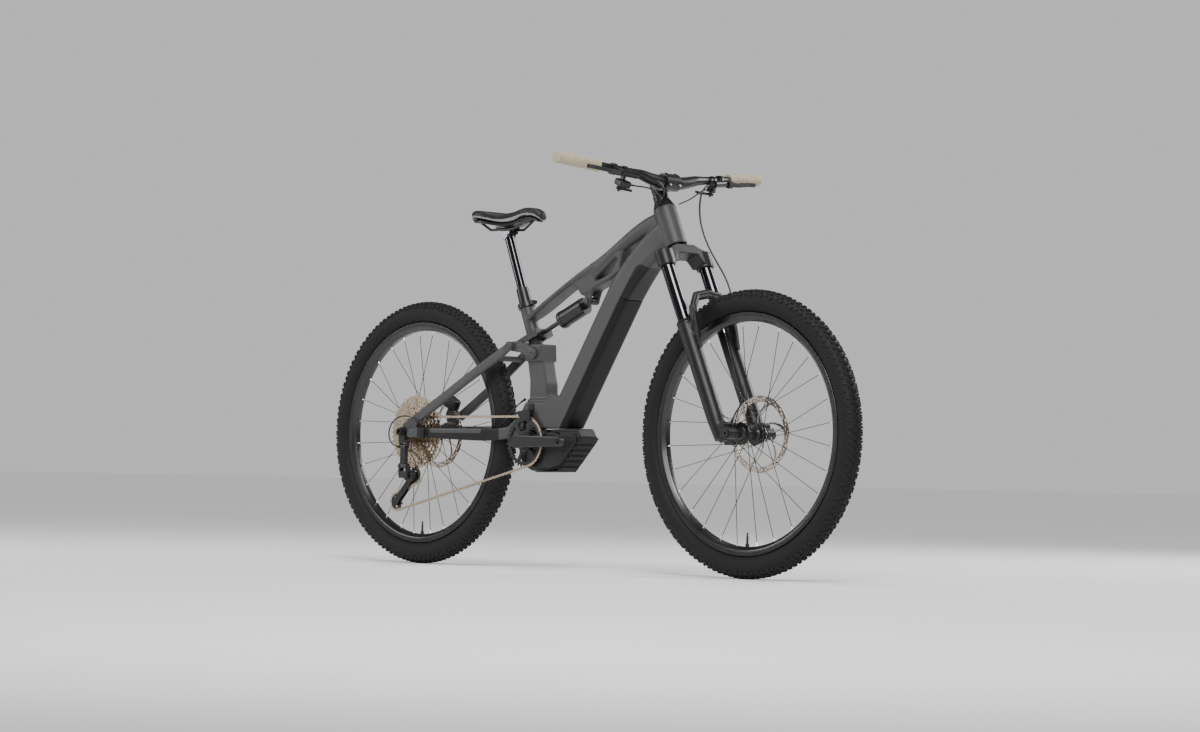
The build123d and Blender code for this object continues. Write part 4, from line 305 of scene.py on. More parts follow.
# ================================================================ mesh building
class Form:
    """Points and faces gathered for one piece."""

    def __init__(self):
        self.points, self.faces, self.tones = [], [], []

    def add(self, points, faces, tone=0):
        base = len(self.points)
        self.points += [Vector(p) for p in points]
        self.faces += [tuple(base + i for i in face) for face in faces]
        self.tones += [tone] * len(faces)

    def turned(self, outline, centre, axis, sides=48, closed=False, hexed=(), tone=0):
        """An outline of (radius, distance along) turned about an axis; hexed rings are six-sided."""
        axis = Vector(axis).normalized()
        first = axis.orthogonal().normalized()
        second = axis.cross(first)
        points, rings = [], []
        for index, (radius, along) in enumerate(outline):
            count = sides if radius > 1e-7 else 1
            rings.append((len(points), count))
            for step in range(count):
                angle = math.tau * step / sides
                reach = radius
                if index in hexed:
                    sixth = math.tau / 6
                    reach = radius * math.cos(sixth / 2) / math.cos(angle % sixth - sixth / 2)
                out = first * math.cos(angle) + second * math.sin(angle)
                points.append(Vector(centre) + axis * along + out * reach)
        faces = []
        pairs = list(zip(rings, rings[1:]))
        if closed:
            pairs.append((rings[-1], rings[0]))
        for (a, count_a), (b, count_b) in pairs:
            for step in range(sides):
                after = (step + 1) % sides
                if count_a == 1:
                    faces.append((a, b + after, b + step))
                elif count_b == 1:
                    faces.append((a + step, a + after, b))
                else:
                    faces.append((a + step, a + after, b + after, b + step))
        self.add(points, faces, tone)

    def swept(self, path, radii, sides=16, flat=1.0, tone=0):
        """A tube with closed ends along a path; flat below 1 thins it across the path's own plane."""
        path = [Vector(p) for p in path]
        points, faces = [], []
        side = None
        for index, here in enumerate(path):
            before, after = path[max(0, index - 1)], path[min(len(path) - 1, index + 1)]
            along = (after - before).normalized()
            side = along.orthogonal() if side is None else side - along * side.dot(along)
            side = side.normalized()
            other = along.cross(side)
            for step in range(sides):
                angle = math.tau * step / sides
                out = side * math.cos(angle) + other * (math.sin(angle) * flat)
                points.append(here + out * radii[index])
        for ring in range(len(path) - 1):
            for step in range(sides):
                after = (step + 1) % sides
                a, b = ring * sides, (ring + 1) * sides
                faces.append((a + step, a + after, b + after, b + step))
        faces.append(tuple(range(sides)))
        faces.append(tuple(range(len(points) - sides, len(points))))
        self.add(points, faces, tone)

    def prism(self, outline, along, tone=0):
        """A flat outline pushed along a vector."""
        count = len(outline)
        points = [Vector(p) for p in outline] + [Vector(p) + along for p in outline]
        faces = [tuple(range(count)), tuple(range(count, 2 * count))]
        faces += [(i, (i + 1) % count, count + (i + 1) % count, count + i) for i in range(count)]
        self.add(points, faces, tone)

    def block(self, centre, axes, half, draft=1.0, tone=0):
        """A box with chamfered top edges; axes are its three unit directions, the last one its height."""
        along, across, up = axes
        a, b, c = half
        points = []
        for level, grow in ((-c, 1.0), (c * 0.72, draft), (c, draft * 0.86)):
            for s, t in ((-1, -1), (1, -1), (1, 1), (-1, 1)):
                points.append(centre + along * (a * s * grow) + across * (b * t * grow) + up * level)
        faces = [(0, 1, 2, 3), (8, 9, 10, 11)]
        for base in (0, 4):
            ring = [(base + i, base + (i + 1) % 4) for i in range(4)]
            faces += [(a, b, b + 4, a + 4) for a, b in ring]
        self.add(points, faces, tone)

    def polar(self, centre, rows, columns, radius, kept, thickness, twist=None):
        """A flat disc facing across the bike, built of cells; radius(row, column) places each corner
        and kept(row, column) says which cells are solid."""
        twist = twist or (lambda row: 0.0)
        points = []
        for side in (-1, 1):
            for row in range(rows + 1):
                for column in range(columns):
                    angle = math.tau * column / columns + twist(row)
                    r = radius(row, column)
                    spot = Vector((r * math.cos(angle), side * thickness / 2, r * math.sin(angle)))
                    points.append(centre + spot)
        layer = (rows + 1) * columns

        def spot(row, column, side):
            return side * layer + row * columns + column % columns

        faces = []
        for row in range(rows):
            for column in range(columns):
                if not kept(row, column):
                    continue
                corners = [(row, column), (row, column + 1), (row + 1, column + 1), (row + 1, column)]
                for side in (0, 1):
                    faces.append(tuple(spot(r, c, side) for r, c in corners))
                gone = [
                    row == 0 or not kept(row - 1, column), not kept(row, (column + 1) % columns),
                    row == rows - 1 or not kept(row + 1, column), not kept(row, (column - 1) % columns),
                ]
                for index, open_side in enumerate(gone):
                    if open_side:
                        p, q = corners[index], corners[(index + 1) % 4]
                        faces.append((spot(*p, 0), spot(*q, 0), spot(*q, 1), spot(*p, 1)))
        used = sorted({i for face in faces for i in face})
        new = {old: index for index, old in enumerate(used)}
        self.add([points[i] for i in used], [tuple(new[i] for i in face) for face in faces])

    def bolt(self, place, axis, radius=3.0, height=2.4, socket=1.5):
        """A socket-head bolt whose seat is at a place, in mm."""
        r, h, s = radius * MM, height * MM, socket * MM
        outline = [(0, h * 0.25), (s * 1.1, h * 0.25), (s * 1.1, h), (r * 0.86, h), (r, h * 0.84),
                   (r, 0), (0, 0)]
        self.turned(outline, place, axis, sides=24, hexed=(1, 2))


def finish_piece(obj, body, slot, looks, replaces=()):
    """Gives a new object its materials and its body, and hides the CAD nodes that it stands for; slot is
    not used.
    """
    for look in [looks] if isinstance(looks, str) else looks:
        obj.data.materials.append(LOOKS[look])
    if body:
        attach(obj, body)
    if replaces:
        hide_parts(*replaces)
    return obj


def piece(name, form, body, slot, looks, replaces=(), crease=35, bevel=0.0):
    """One object from a form, faces outward, smooth below the crease angle, with bevelled edges."""
    mesh = bpy.data.meshes.new(name)
    mesh.from_pydata(form.points, [], form.faces)
    mesh.polygons.foreach_set("material_index", form.tones)
    shape = bmesh.new()
    shape.from_mesh(mesh)
    bmesh.ops.recalc_face_normals(shape, faces=shape.faces)
    shape.to_mesh(mesh)
    shape.free()
    mesh.shade_smooth()
    mesh.set_sharp_from_angle(angle=math.radians(crease))
    obj = linked(name, mesh)
    if bevel:
        add_bevel(obj, bevel)
    return finish_piece(obj, body, slot, looks, replaces)


def add_bevel(obj, width, angle=32):
    bevel = obj.modifiers.new("bevel", "BEVEL")
    bevel.width = width * MM
    bevel.segments = 2
    bevel.limit_method = "ANGLE"
    bevel.angle_limit = math.radians(angle)
    bevel.harden_normals = True


def keep(node, look, bevel=0.0):
    """A CAD node whose shape is right: it gets a finish, smooth shading and broken edges."""
    obj = NODES[node]
    obj.data.materials.clear()
    obj.data.materials.append(LOOKS[look])
    weld = obj.modifiers.new("weld", "WELD")
    weld.merge_threshold = 1e-5
    if bevel:
        add_bevel(obj, bevel)
    shade = obj.modifiers.new("weighted", "WEIGHTED_NORMAL")
    shade.keep_sharp = True
    return obj


def applied(obj):
    """The object's mesh with its modifiers applied to it."""
    bpy.context.view_layer.update()
    evaluated = obj.evaluated_get(bpy.context.evaluated_depsgraph_get())
    mesh = bpy.data.meshes.new_from_object(evaluated)
    obj.modifiers.clear()
    obj.data = mesh
    return obj


def cutter(outline, y0, y1):
    """A prism in side view that cuts a copy of a node; its outline is in mm from the rear axle."""
    shape = Form()
    shape.prism([behind(x, z, y0) for x, z in outline], ACROSS * (y1 - y0) * MM)
    mesh = bpy.data.meshes.new("cutter")
    mesh.from_pydata(shape.points, [], shape.faces)
    edges = bmesh.new()
    edges.from_mesh(mesh)
    bmesh.ops.recalc_face_normals(edges, faces=edges.faces)
    edges.to_mesh(mesh)
    edges.free()
    return linked("cutter", mesh)


def melted(node, voxel, passes, name=None, cuts=()):
    """A copy of a CAD node whose edges and joints have run together, as in a moulding or a casting."""
    obj = linked(name or node + "_skin", NODES[node].data.copy())
    obj.data.materials.clear()
    weld = obj.modifiers.new("weld", "WELD")
    weld.merge_threshold = 1e-5
    tools = [cutter(*cut) for cut in cuts]
    for tool in tools:
        cut = obj.modifiers.new("cut", "BOOLEAN")
        cut.operation, cut.solver, cut.object = "DIFFERENCE", "EXACT", tool
    remesh = obj.modifiers.new("remesh", "REMESH")
    remesh.mode, remesh.voxel_size = "VOXEL", voxel * MM
    if passes:
        smooth = obj.modifiers.new("smooth", "SMOOTH")
        smooth.factor, smooth.iterations = 0.5, passes
    applied(obj)
    for tool in tools:
        bpy.data.objects.remove(tool, do_unlink=True)
    obj.data.shade_smooth()
    return obj


def moulding(node, voxel, passes, look, cuts=()):
    """Replaces a CAD node with its melted copy."""
    obj = melted(node, voxel, passes, cuts=cuts)
    return finish_piece(obj, NODES[node]["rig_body"], SLOT_OF[node], look, [node])


# ================================================================ cords
def hose(name, route, diameter, bodies=None):
    """A hose or cable housing on one NURBS line through a route of (ahead, above, left) in mm."""
    points = [behind(x, z, y) for x, z, y in route]
    curve = bpy.data.curves.new(name + "_tube", "CURVE")
    curve.dimensions = "3D"
    curve.resolution_u = 8
    spline = curve.splines.new("NURBS")
    spline.points.add(len(points) - 1)
    for control, point in zip(spline.points, points):
        control.co = (*point, 1.0)
    spline.order_u = 3
    spline.use_endpoint_u = True
    obj = linked(name + "_tube", curve)
    line = bpy.data.meshes.new_from_object(obj)
    path = [vertex.co.copy() for vertex in line.vertices]
    length = sum((b - a).length for a, b in zip(path, path[1:]))
    curve.bevel_depth = diameter * MM / 2
    curve.bevel_resolution = 3
    curve.use_fill_caps = True
    if bodies:
        mesh = bpy.data.meshes.new_from_object(obj)
        bpy.data.objects.remove(obj)
        mesh.shade_smooth()
        obj = linked(name + "_tube", mesh)
        obj.data.materials.append(LOOKS["hose"])
        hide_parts(name)
        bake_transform(obj)
    else:
        finish_piece(obj, NODES[name]["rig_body"], SLOT_OF[name], "hose", [name])
    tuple(path[0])
    return path


def boot(form, path, radius, length):
    """A tapered sleeve over a hose's start or end."""
    start, ahead = path[0], (path[2] - path[0]).normalized()
    outline = [(1.9, -1), (1.9, 3), (1.35, length * 0.55), (1.12, length), (0.9, length)]
    form.turned([(radius * share * MM, along * MM) for share, along in outline], start, ahead, sides=24)


FRONT_BRAKE_ROUTE = [
    (983.9, 672.1, 138.0), (988, 668, 115), (991, 655, 96), (989, 634, 88), (986, 605, 88),
    (988, 570, 90), (999, 533, 93), (1018, 495, 96), (1046, 455, 99), (1076, 415, 101),
    (1096, 371, 102), (1103, 325, 103), (1109, 280, 103), (1120, 232, 103), (1137, 184, 103),
    (1153, 137, 102), (1160, 98, 94), (1158, 72, 74), (1157, 52, 55), (1158, 30.2, 45),
]
REAR_BRAKE_ROUTE = [
    (983.9, 672.1, -138.0), (987.8, 669.6, -114.5), (996, 664, -84), (993, 650, -60),
    (980, 637, -40), (962, 628, -27),
]
SHIFT_ROUTE = [
    (958.0, 650.2, -154.6), (962.3, 647.4, -128.5), (976, 646, -96), (981, 634, -70),
    (975, 621, -48), (961, 611, -33),
]
DROPPER_ROUTE = [
    (956.3, 661.7, 161.2), (960.9, 658.7, 133.1), (980, 652, 102), (984, 638, 76),
    (976, 622, 52), (961, 612, 34),
]
CHAINSTAY_ROUTE = [
    (457, 92, -37), (447, 84, -43), (431, 72, -45), (412, 57, -45), (392, 42, -44),
    (374, 28, -42.5), (359, 15, -41.5),
]
DERAILLEUR_ROUTE = [
    (80, 14.5, -78), (70, 26, -83), (52, 37, -86), (27, 44, -87), (0, 44, -87), (-27, 37, -87),
    (-48, 20, -87), (-57, -5, -87), (-50, -29, -86), (-30, -42, -84), (-8.8, -44, -84),
]


def make_cords():
    front = hose("front_brake_hose", FRONT_BRAKE_ROUTE, 5.0, ("steering", "fork_slider"))
    rear = hose("rear_brake_hose", REAR_BRAKE_ROUTE, 5.0)
    shift = hose("shift_housing", SHIFT_ROUTE, 4.0)
    dropper = hose("dropper_housing", DROPPER_ROUTE, 4.0)
    stay = hose("chainstay_hose", CHAINSTAY_ROUTE, 4.0, ("frame", "chainstay"))
    loop = hose("derailleur_housing", DERAILLEUR_ROUTE, 4.0, ("chainstay", "seatstay"))
    sleeves = {"steering": (front, rear, shift, dropper), "fork_slider": (front[::-1],),
               "frame": (stay,), "chainstay": (stay[::-1], loop), "seatstay": (loop[::-1],)}
    for body, paths in sleeves.items():
        form = Form()
        for path in paths:
            boot(form, path, 2.5 if path in (front, rear) or path[0] == front[-1] else 2.0, 16)
        piece("hose_boots_" + body, form, body, "rubber", "rubber")


# ================================================================ wheels
TYRE_R = FRONT_AXLE.z
CASING_R = 0.029
KNOB = 0.004
RIM_R = 0.315
RIM_DEPTH = 0.024
RIM_HALF = 0.017
SPOKES_PER_SIDE = 14
FLANGE_R = 0.029
TREAD_ROWS = 62


def make_tyre(end, axle):
    """A knobbly tyre: a thin casing with ribbed side walls, and blocks with sipes over its crown."""
    form = Form()
    centre = TYRE_R - KNOB - CASING_R
    outline = []
    for wall, order in ((0.0, 1), (0.0026, -1)):
        arc = []
        for step in range(41):
            angle = math.radians(-160 + 8 * step) * order
            ridge = 0.00035 if wall == 0 and step in (3, 4, 7, 33, 36, 37) else 0.0
            reach = CASING_R - wall + ridge
            arc.append((centre + reach * math.cos(angle), reach * math.sin(angle)))
        outline += arc
    form.turned(outline, axle, ACROSS, sides=180, closed=True)
    pitch = math.tau / TREAD_ROWS
    for row in range(TREAD_ROWS):
        odd = row % 2
        # side tilt in degrees, turn ahead in rows, half length, half width in mm, sipe
        blocks = [
            (9.5, 0.0, 4.6, 3.4, True), (-9.5, 0.0, 4.6, 3.4, True),
            (5.5 if odd else 12, 0.5, 3.7, 3.0, False), (-12 if odd else -5.5, 0.5, 3.7, 3.0, False),
            (30, 0.25, 4.4, 3.0, True), (-30, 0.25, 4.4, 3.0, True),
            (27, 0.72, 2.8, 2.4, False), (-27, 0.72, 2.8, 2.4, False),
            (52 + 3 * odd, 0.05, 5.2, 4.2, True), (-52 - 3 * odd, 0.05, 5.2, 4.2, True),
            (49, 0.52, 3.4, 3.4, False), (-49, 0.52, 3.4, 3.4, False),
        ]
        for tilt, ahead, half_length, half_width, sipe in blocks:
            turn = (row + ahead) * pitch
            radial = Vector((math.cos(turn), 0, math.sin(turn)))
            forward = Vector((-math.sin(turn), 0, math.cos(turn)))
            lean = math.radians(tilt)
            up = radial * math.cos(lean) + ACROSS * math.sin(lean)
            across = ACROSS * math.cos(lean) - radial * math.sin(lean)
            height = KNOB if abs(tilt) < 20 else KNOB * 0.92
            foot = axle + radial * centre + up * (CASING_R - 0.0012)
            middle = foot + up * (height + 0.0012) / 2
            half_up = (height + 0.0012) / 2
            if sipe:
                for side in (-1, 1):
                    shift = forward * (side * half_length * MM / 2)
                    form.block(middle + shift, (forward, across, up),
                               (half_length * MM / 2 - 0.0003, half_width * MM, half_up), draft=0.93)
            else:
                half = (half_length * MM, half_width * MM, half_up)
                form.block(middle, (forward, across, up), half, draft=0.9)
    piece(end + "_tyre_tread", form, end + "_wheel", "tyre_rubber", "tyre", [end + "_tyre"], crease=30)


def make_rim(end, axle):
    """A deep gloss rim with hooked edges and a valve."""
    inner = RIM_R - RIM_DEPTH
    bed = TYRE_R - KNOB - 2 * CASING_R + 0.0001
    w = RIM_HALF
    outline = [
        (RIM_R - 0.0006, -w), (RIM_R, -w + 0.0006), (RIM_R, -w + 0.0028), (bed, -w + 0.0032),
        (bed, w - 0.0032), (RIM_R, w - 0.0028), (RIM_R, w - 0.0006), (RIM_R - 0.0006, w),
        (inner + 0.0125, w), (inner + 0.0095, w - 0.0008), (inner + 0.0015, 0.0092),
        (inner + 0.0003, 0.0078), (inner, 0.0055), (inner, -0.0055), (inner + 0.0003, -0.0078),
        (inner + 0.0015, -0.0092), (inner + 0.0095, -w + 0.0008), (inner + 0.0125, -w),
    ]
    form = Form()
    form.turned(outline, axle, ACROSS, sides=200, closed=True)
    piece(end + "_rim_ring", form, end + "_wheel", "rim_carbon", "rim", [end + "_rim"], crease=24)
    valve = Form()
    out = Vector((0, 0, -1))
    valve.turned([(0, -0.036), (0.0022, -0.036), (0.0024, -0.035), (0.0024, -0.030), (0.0018, -0.0295),
                  (0.0030, -0.027), (0.0030, -0.008), (0.0050, -0.0078), (0.0052, 0.001), (0, 0.001)],
                 axle + out * inner, out, sides=20)
    piece(end + "_valve", valve, end + "_wheel", "black_alloy", "alloy")


def make_spokes(end, axle, left_flange, right_flange):
    """Crossed spokes with their bright nipples at the rim."""
    thin, ends = Form(), Form()
    count = 2 * SPOKES_PER_SIDE
    rim_end = RIM_R - RIM_DEPTH - 0.0004
    for index in range(count):
        side = 1 if index % 2 else -1
        flange = left_flange if side > 0 else right_flange
        leading = 1 if (index // 2) % 2 else -1
        out = math.tau * (index + 0.5) / count
        hub_angle = out + math.radians(68 * leading)
        head_y = flange + side * leading * 0.0031
        holes = FLANGE_R - 0.001
        start = axle + Vector((holes * math.cos(hub_angle), head_y, holes * math.sin(hub_angle)))
        end_point = axle + Vector((rim_end * math.cos(out), side * 0.0025, rim_end * math.sin(out)))
        run = end_point - start
        spots = [0.0, 0.03, 0.05, 0.93, 0.95, 1.0]
        radii = [0.0011, 0.0011, 0.0009, 0.0009, 0.0011, 0.0011]
        thin.swept([start + run * s for s in spots], radii, sides=8)
        along = run.normalized()
        ends.turned([(0.0012, -0.011), (0.0019, -0.0105), (0.0019, -0.002), (0.0022, -0.0015),
                     (0.0022, 0.0)], end_point, along, sides=10)
        thin.turned([(0, -0.0016), (0.0017, -0.0016), (0.0017, 0.0016), (0, 0.0016)],
                    start, ACROSS, sides=10)
    piece(end + "_spoke_set", thin, end + "_wheel", "spoke_steel", "spoke", [end + "_spokes"])
    piece(end + "_nipples", ends, end + "_wheel", "spoke_steel", "nipple")


def make_hub(end, axle, left_flange, right_flange, left, right, barrel):
    """A turned hub shell with plain flanges and end caps."""
    f = 0.0016            # half a flange's thickness

    def flange(y):
        return [(FLANGE_R - 0.0006, y - f), (FLANGE_R, y - f + 0.0006), (FLANGE_R, y + f - 0.0006),
                (FLANGE_R - 0.0006, y + f)]

    outline = [
        (0.0078, right), (0.0102, right), (0.0110, right + 0.001), (0.0110, right_flange - 0.009),
        (0.0165, right_flange - 0.006), (0.0185, right_flange - f - 0.001), *flange(right_flange),
        (barrel + 0.004, right_flange + f + 0.001), (barrel, right_flange + f + 0.005),
        (barrel * 0.92, 0.0015), (barrel, left_flange - f - 0.005),
        (barrel + 0.004, left_flange - f - 0.001), *flange(left_flange),
        (0.0165, left_flange + f + 0.001), (0.0165, left_flange + 0.012),
        (0.0110, left_flange + 0.0125), (0.0110, left - 0.001), (0.0102, left), (0.0078, left),
    ]
    form = Form()
    form.turned(outline, axle, ACROSS, sides=64, closed=True)
    piece(end + "_hub_shell", form, end + "_wheel", "black_alloy", "alloy", [end + "_hub"], crease=28)


def make_rotor(end, axle, y):
    """A brake disc with swept arms, a slotted wavy band, and a dark carrier with its bolts."""
    columns = 216
    radii = [0.0172, 0.0235, 0.0260, 0.0380, 0.0500, 0.0620, 0.0740, 0.0850, 0.0875, 0.0905,
             0.0935, 0.0970, 0.1005]

    def radius(row, column):
        wave = 0.0009 * math.cos(math.tau * column / columns * 12) if row >= len(radii) - 1 else 0.0
        return radii[row] + wave

    def kept(row, column):
        if row == 0 or row in (7, len(radii) - 2):
            return True
        if row < 7:
            return column % 36 < (10, 6, 4, 4, 4, 5)[row - 1]
        if row in (8, 9, 10):
            return column % 12 not in ((1, 2, 3), (5, 6, 7), (9, 10, 11))[row - 8]
        return True

    def twist(row):
        return -0.16 * max(0, min(row, 7) - 1)

    form = Form()
    form.polar(axle + ACROSS * y, len(radii) - 1, columns, radius, kept, 0.0018, twist)
    piece(end + "_rotor_disc", form, end + "_wheel", "rotor_steel", "rotor", [end + "_rotor"],
          crease=40)
    carrier = Form()
    carrier.turned([(0.0172, -0.0028), (0.0205, -0.0028), (0.0232, -0.0016), (0.0232, 0.0016),
                    (0.0205, 0.0028), (0.0172, 0.0028)], axle + ACROSS * y, ACROSS, sides=48, closed=True)
    for step in range(6):
        turn = math.tau * step / 6 + 0.2
        spot = axle + Vector((0.0205 * math.cos(turn), y + 0.0028, 0.0205 * math.sin(turn)))
        carrier.bolt(spot, ACROSS, 2.6, 1.2, 1.2)
    piece(end + "_rotor_carrier", carrier, end + "_wheel", "black_alloy", "alloy", crease=30)


def make_wheels():
    for end, axle, flanges, rotor_y, barrel in (
        ("front", FRONT_AXLE, (0.024, -0.030), 0.041, 0.013),
        ("rear", REAR_AXLE, (0.033, -0.0235), 0.057, 0.015),
    ):
        low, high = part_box(end + "_hub")
        make_tyre(end, axle)
        make_rim(end, axle)
        make_spokes(end, axle, *flanges)
        make_hub(end, axle, *flanges, high.y, low.y if end == "front" else -0.0272, barrel)
        make_rotor(end, axle, rotor_y)


# ================================================================ drive train
CHAIN_PITCH = 0.0127
RING_TEETH = 34
COGS = [10, 12, 14, 16, 18, 21, 24, 28, 33, 39, 45, 51]
COG_ON = 5
COG_SPACING = 0.0036
PULLEY_TEETH = 12
TOOTH_TIP = 0.0024


def pitch_radius(teeth):
    return CHAIN_PITCH / (2 * math.sin(math.pi / teeth))


TOOTH_SHAPE = (-0.0040, -0.0040, -0.0030, 0.0005, TOOTH_TIP, TOOTH_TIP, 0.0005, -0.0030)


def toothed(form, centre, teeth, inner, thickness, window=None, arms=0, arm_share=0.3):
    """A toothed plate from an inner radius out, with windows between its arms when a window is given."""
    pitch = pitch_radius(teeth)
    root = pitch - 0.0048
    low, high = window or (inner + (root - inner) * 0.4, inner + (root - inner) * 0.7)
    levels = [inner, low, high, root]
    columns = 8 * teeth

    def radius(row, column):
        return levels[row] if row < 4 else pitch + TOOTH_SHAPE[column % 8]

    def kept(row, column):
        if row != 1 or not arms:
            return True
        return (column / columns * arms) % 1.0 < arm_share

    form.polar(centre, 4, columns, radius, kept, thickness)


def make_cassette():
    form = Form()
    last = None
    for index, teeth in enumerate(COGS):
        y = CHAIN_Y + (index - COG_ON) * COG_SPACING
        centre = Vector((REAR_AXLE.x, y, REAR_AXLE.z))
        root = pitch_radius(teeth) - 0.0048
        if index < 3:
            toothed(form, centre, teeth, 0.0102, 0.0016)
        else:
            inner = pitch_radius(COGS[index - 2]) - 0.009
            band = min(0.0045, (root - inner) * 0.4)
            inner = max(0.0102, inner)
            toothed(form, centre, teeth, inner, 0.0016, (inner + 0.002, root - band),
                    arms=4 + 3 * (index // 3), arm_share=0.42)
        last = centre
    low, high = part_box("cassette")
    form.turned([(0.0101, low.y), (0.0140, low.y), (0.0150, low.y + 0.003), (0.0150, CHAIN_Y),
                 (0.0240, last.y - 0.004), (0.0240, high.y), (0.0101, high.y)],
                Vector((REAR_AXLE.x, 0, REAR_AXLE.z)), ACROSS, sides=48, closed=True)
    piece("cassette_cogs", form, "cassette_body", "cassette_steel", "cassette", ["cassette"], crease=30)


def make_chainring():
    form = Form()
    centre = Vector((CRANK_AXLE.x, CHAIN_Y, CRANK_AXLE.z))
    toothed(form, centre, RING_TEETH, 0.0242, 0.0016, (0.030, 0.0560), arms=6, arm_share=0.24)
    form.turned([(0.01205, -0.005), (0.0245, -0.005), (0.0262, -0.0035), (0.0262, 0.0012),
                 (0.0245, 0.0025), (0.01205, 0.0025)], centre, ACROSS, sides=64, closed=True)
    for step in range(3):
        turn = math.tau * step / 3 + 0.4
        spot = centre + Vector((0.0205 * math.cos(turn), -0.005, 0.0205 * math.sin(turn)))
        form.bolt(spot, -ACROSS, 2.6, 1.2, 1.2)
    piece("chainring_plate", form, "crank", "black_alloy", "alloy", ["chainring"], crease=30, bevel=0.2)


def make_pulleys():
    for name, joint, body in (("guide_pulley", "guide_pulley_spin", "guide_wheel"),
                              ("tension_pulley", "tension_pulley_spin", "tension_wheel")):
        centre = joint_at(joint)
        form = Form()
        toothed(form, centre, PULLEY_TEETH, 0.0072, 0.0016, (0.0095, 0.0165), arms=5, arm_share=0.45)
        low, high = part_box(name)
        form.turned([(0.00268, low.y), (0.0068, low.y), (0.0074, low.y + 0.0007),
                     (0.0074, high.y - 0.0007), (0.0068, high.y), (0.00268, high.y)],
                    Vector((centre.x, 0, centre.z)), ACROSS, sides=32, closed=True)
        piece(name + "_wheel", form, body, "black_plastic", "casing", [name], crease=30)


def chain_circles():
    """The circles the chain runs round: x, z, radius, and +1 where the centre is right of the path."""
    guide, tension = joint_at("guide_pulley_spin"), joint_at("tension_pulley_spin")
    wheels = ((CRANK_AXLE, RING_TEETH, 1), (tension, PULLEY_TEETH, 1), (guide, PULLEY_TEETH, -1),
              (REAR_AXLE, COGS[COG_ON], 1))
    return [(place.x, place.z, pitch_radius(teeth), side) for place, teeth, side in wheels]


def chain_run(first, second):
    """The straight run between two circles, as its two ends."""
    x1, z1, r1, s1 = first
    x2, z2, r2, s2 = second
    apart = math.hypot(x2 - x1, z2 - z1)
    heading = math.atan2(z2 - z1, x2 - x1) - math.asin((s1 * r1 - s2 * r2) / apart)
    nx, nz = -math.sin(heading), math.cos(heading)
    return (x1 + s1 * r1 * nx, z1 + s1 * r1 * nz), (x2 + s2 * r2 * nx, z2 + s2 * r2 * nz)


def chain_line():
    """The chain's closed pitch line as points about half a millimetre apart."""
    circles = chain_circles()
    count = len(circles)
    runs = [chain_run(circles[i], circles[(i + 1) % count]) for i in range(count)]
    line = []
    for index, (x, z, r, turn) in enumerate(circles):
        enter, leave = runs[index - 1][1], runs[index][0]
        a0, a1 = math.atan2(enter[1] - z, enter[0] - x), math.atan2(leave[1] - z, leave[0] - x)
        sweep = (a0 - a1) % math.tau if turn > 0 else (a1 - a0) % math.tau
        steps = max(2, int(sweep * r / 0.0005))
        angles = [a0 - turn * sweep * k / steps for k in range(steps)]
        line += [(x + r * math.cos(angle), z + r * math.sin(angle)) for angle in angles]
        (xa, za), (xb, zb) = runs[index]
        steps = max(2, int(math.hypot(xb - xa, zb - za) / 0.0005))
        line += [(xa + (xb - xa) * k / steps, za + (zb - za) * k / steps) for k in range(steps)]
    return line


def link_outline(pin, following, waist):
    """A waisted side plate round two pins, in side view."""
    along = Vector((following[0] - pin[0], 0, following[1] - pin[1]))
    length = along.length
    along.normalize()
    up = Vector((-along.z, 0, along.x))
    middle = Vector((pin[0], 0, pin[1])) + along * (length / 2)
    outline = []
    for end in (1, -1):
        for step in range(7):
            angle = math.radians(-78 + 26 * step)
            reach, rise = length / 2 + 0.0036 * math.cos(angle), 0.0036 * math.sin(angle)
            outline.append(middle + along * (end * reach) + up * (end * rise))
        outline.append(middle + up * (end * waist))
    return outline


def make_chain():
    """Every link of the chain: inner and outer side plates, pins and rollers."""
    line = chain_line()
    lengths = [0.0]
    for (xa, za), (xb, zb) in zip(line, line[1:] + line[:1]):
        lengths.append(lengths[-1] + math.hypot(xb - xa, zb - za))
    total = lengths[-1]
    links = 2 * round(total / CHAIN_PITCH / 2)
    pins, cursor = [], 0
    for link in range(links):
        wanted = total * link / links
        while lengths[cursor + 1] < wanted:
            cursor += 1
        share = (wanted - lengths[cursor]) / (lengths[cursor + 1] - lengths[cursor])
        (xa, za), (xb, zb) = line[cursor], line[(cursor + 1) % len(line)]
        pins.append((xa + (xb - xa) * share, za + (zb - za) * share))
    plates, rollers = Form(), Form()
    for link, pin in enumerate(pins):
        following = pins[(link + 1) % links]
        outline = link_outline(pin, following, 0.0024 if link % 2 else 0.0027)
        inner_face = 0.00165 if link % 2 else 0.00115
        for side in (-1, 1):
            y = CHAIN_Y + side * inner_face
            plates.prism([Vector((p.x, y, p.z)) for p in outline], ACROSS * (side * 0.00045))
        rollers.turned([(0, -0.0024), (0.0016, -0.0024), (0.0016, 0.0024), (0, 0.0024)],
                       Vector((pin[0], CHAIN_Y, pin[1])), ACROSS, sides=10)
        rollers.turned([(0.0036, -0.0010), (0.0037, -0.0008), (0.0037, 0.0008), (0.0036, 0.0010)],
                       Vector((pin[0], CHAIN_Y, pin[1])), ACROSS, sides=14)
    plates.add(rollers.points, rollers.faces)
    obj = piece("chain_links", plates, None, "chain_steel", "chain", ["chain"], crease=30)
    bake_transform(obj)


# ================================================================ cockpit
# Heights up the steering axis and the stem's reach, in mm.
HEAD_TOP, SPACER_STACK, STEM_HALF, STEM_REACH = 114.5 + 0.4, 36, 20, 42
STEM_MIDDLE = HEAD_TOP + SPACER_STACK + STEM_HALF
BAR_CENTRE = steer(STEM_REACH, 0, STEM_MIDDLE)


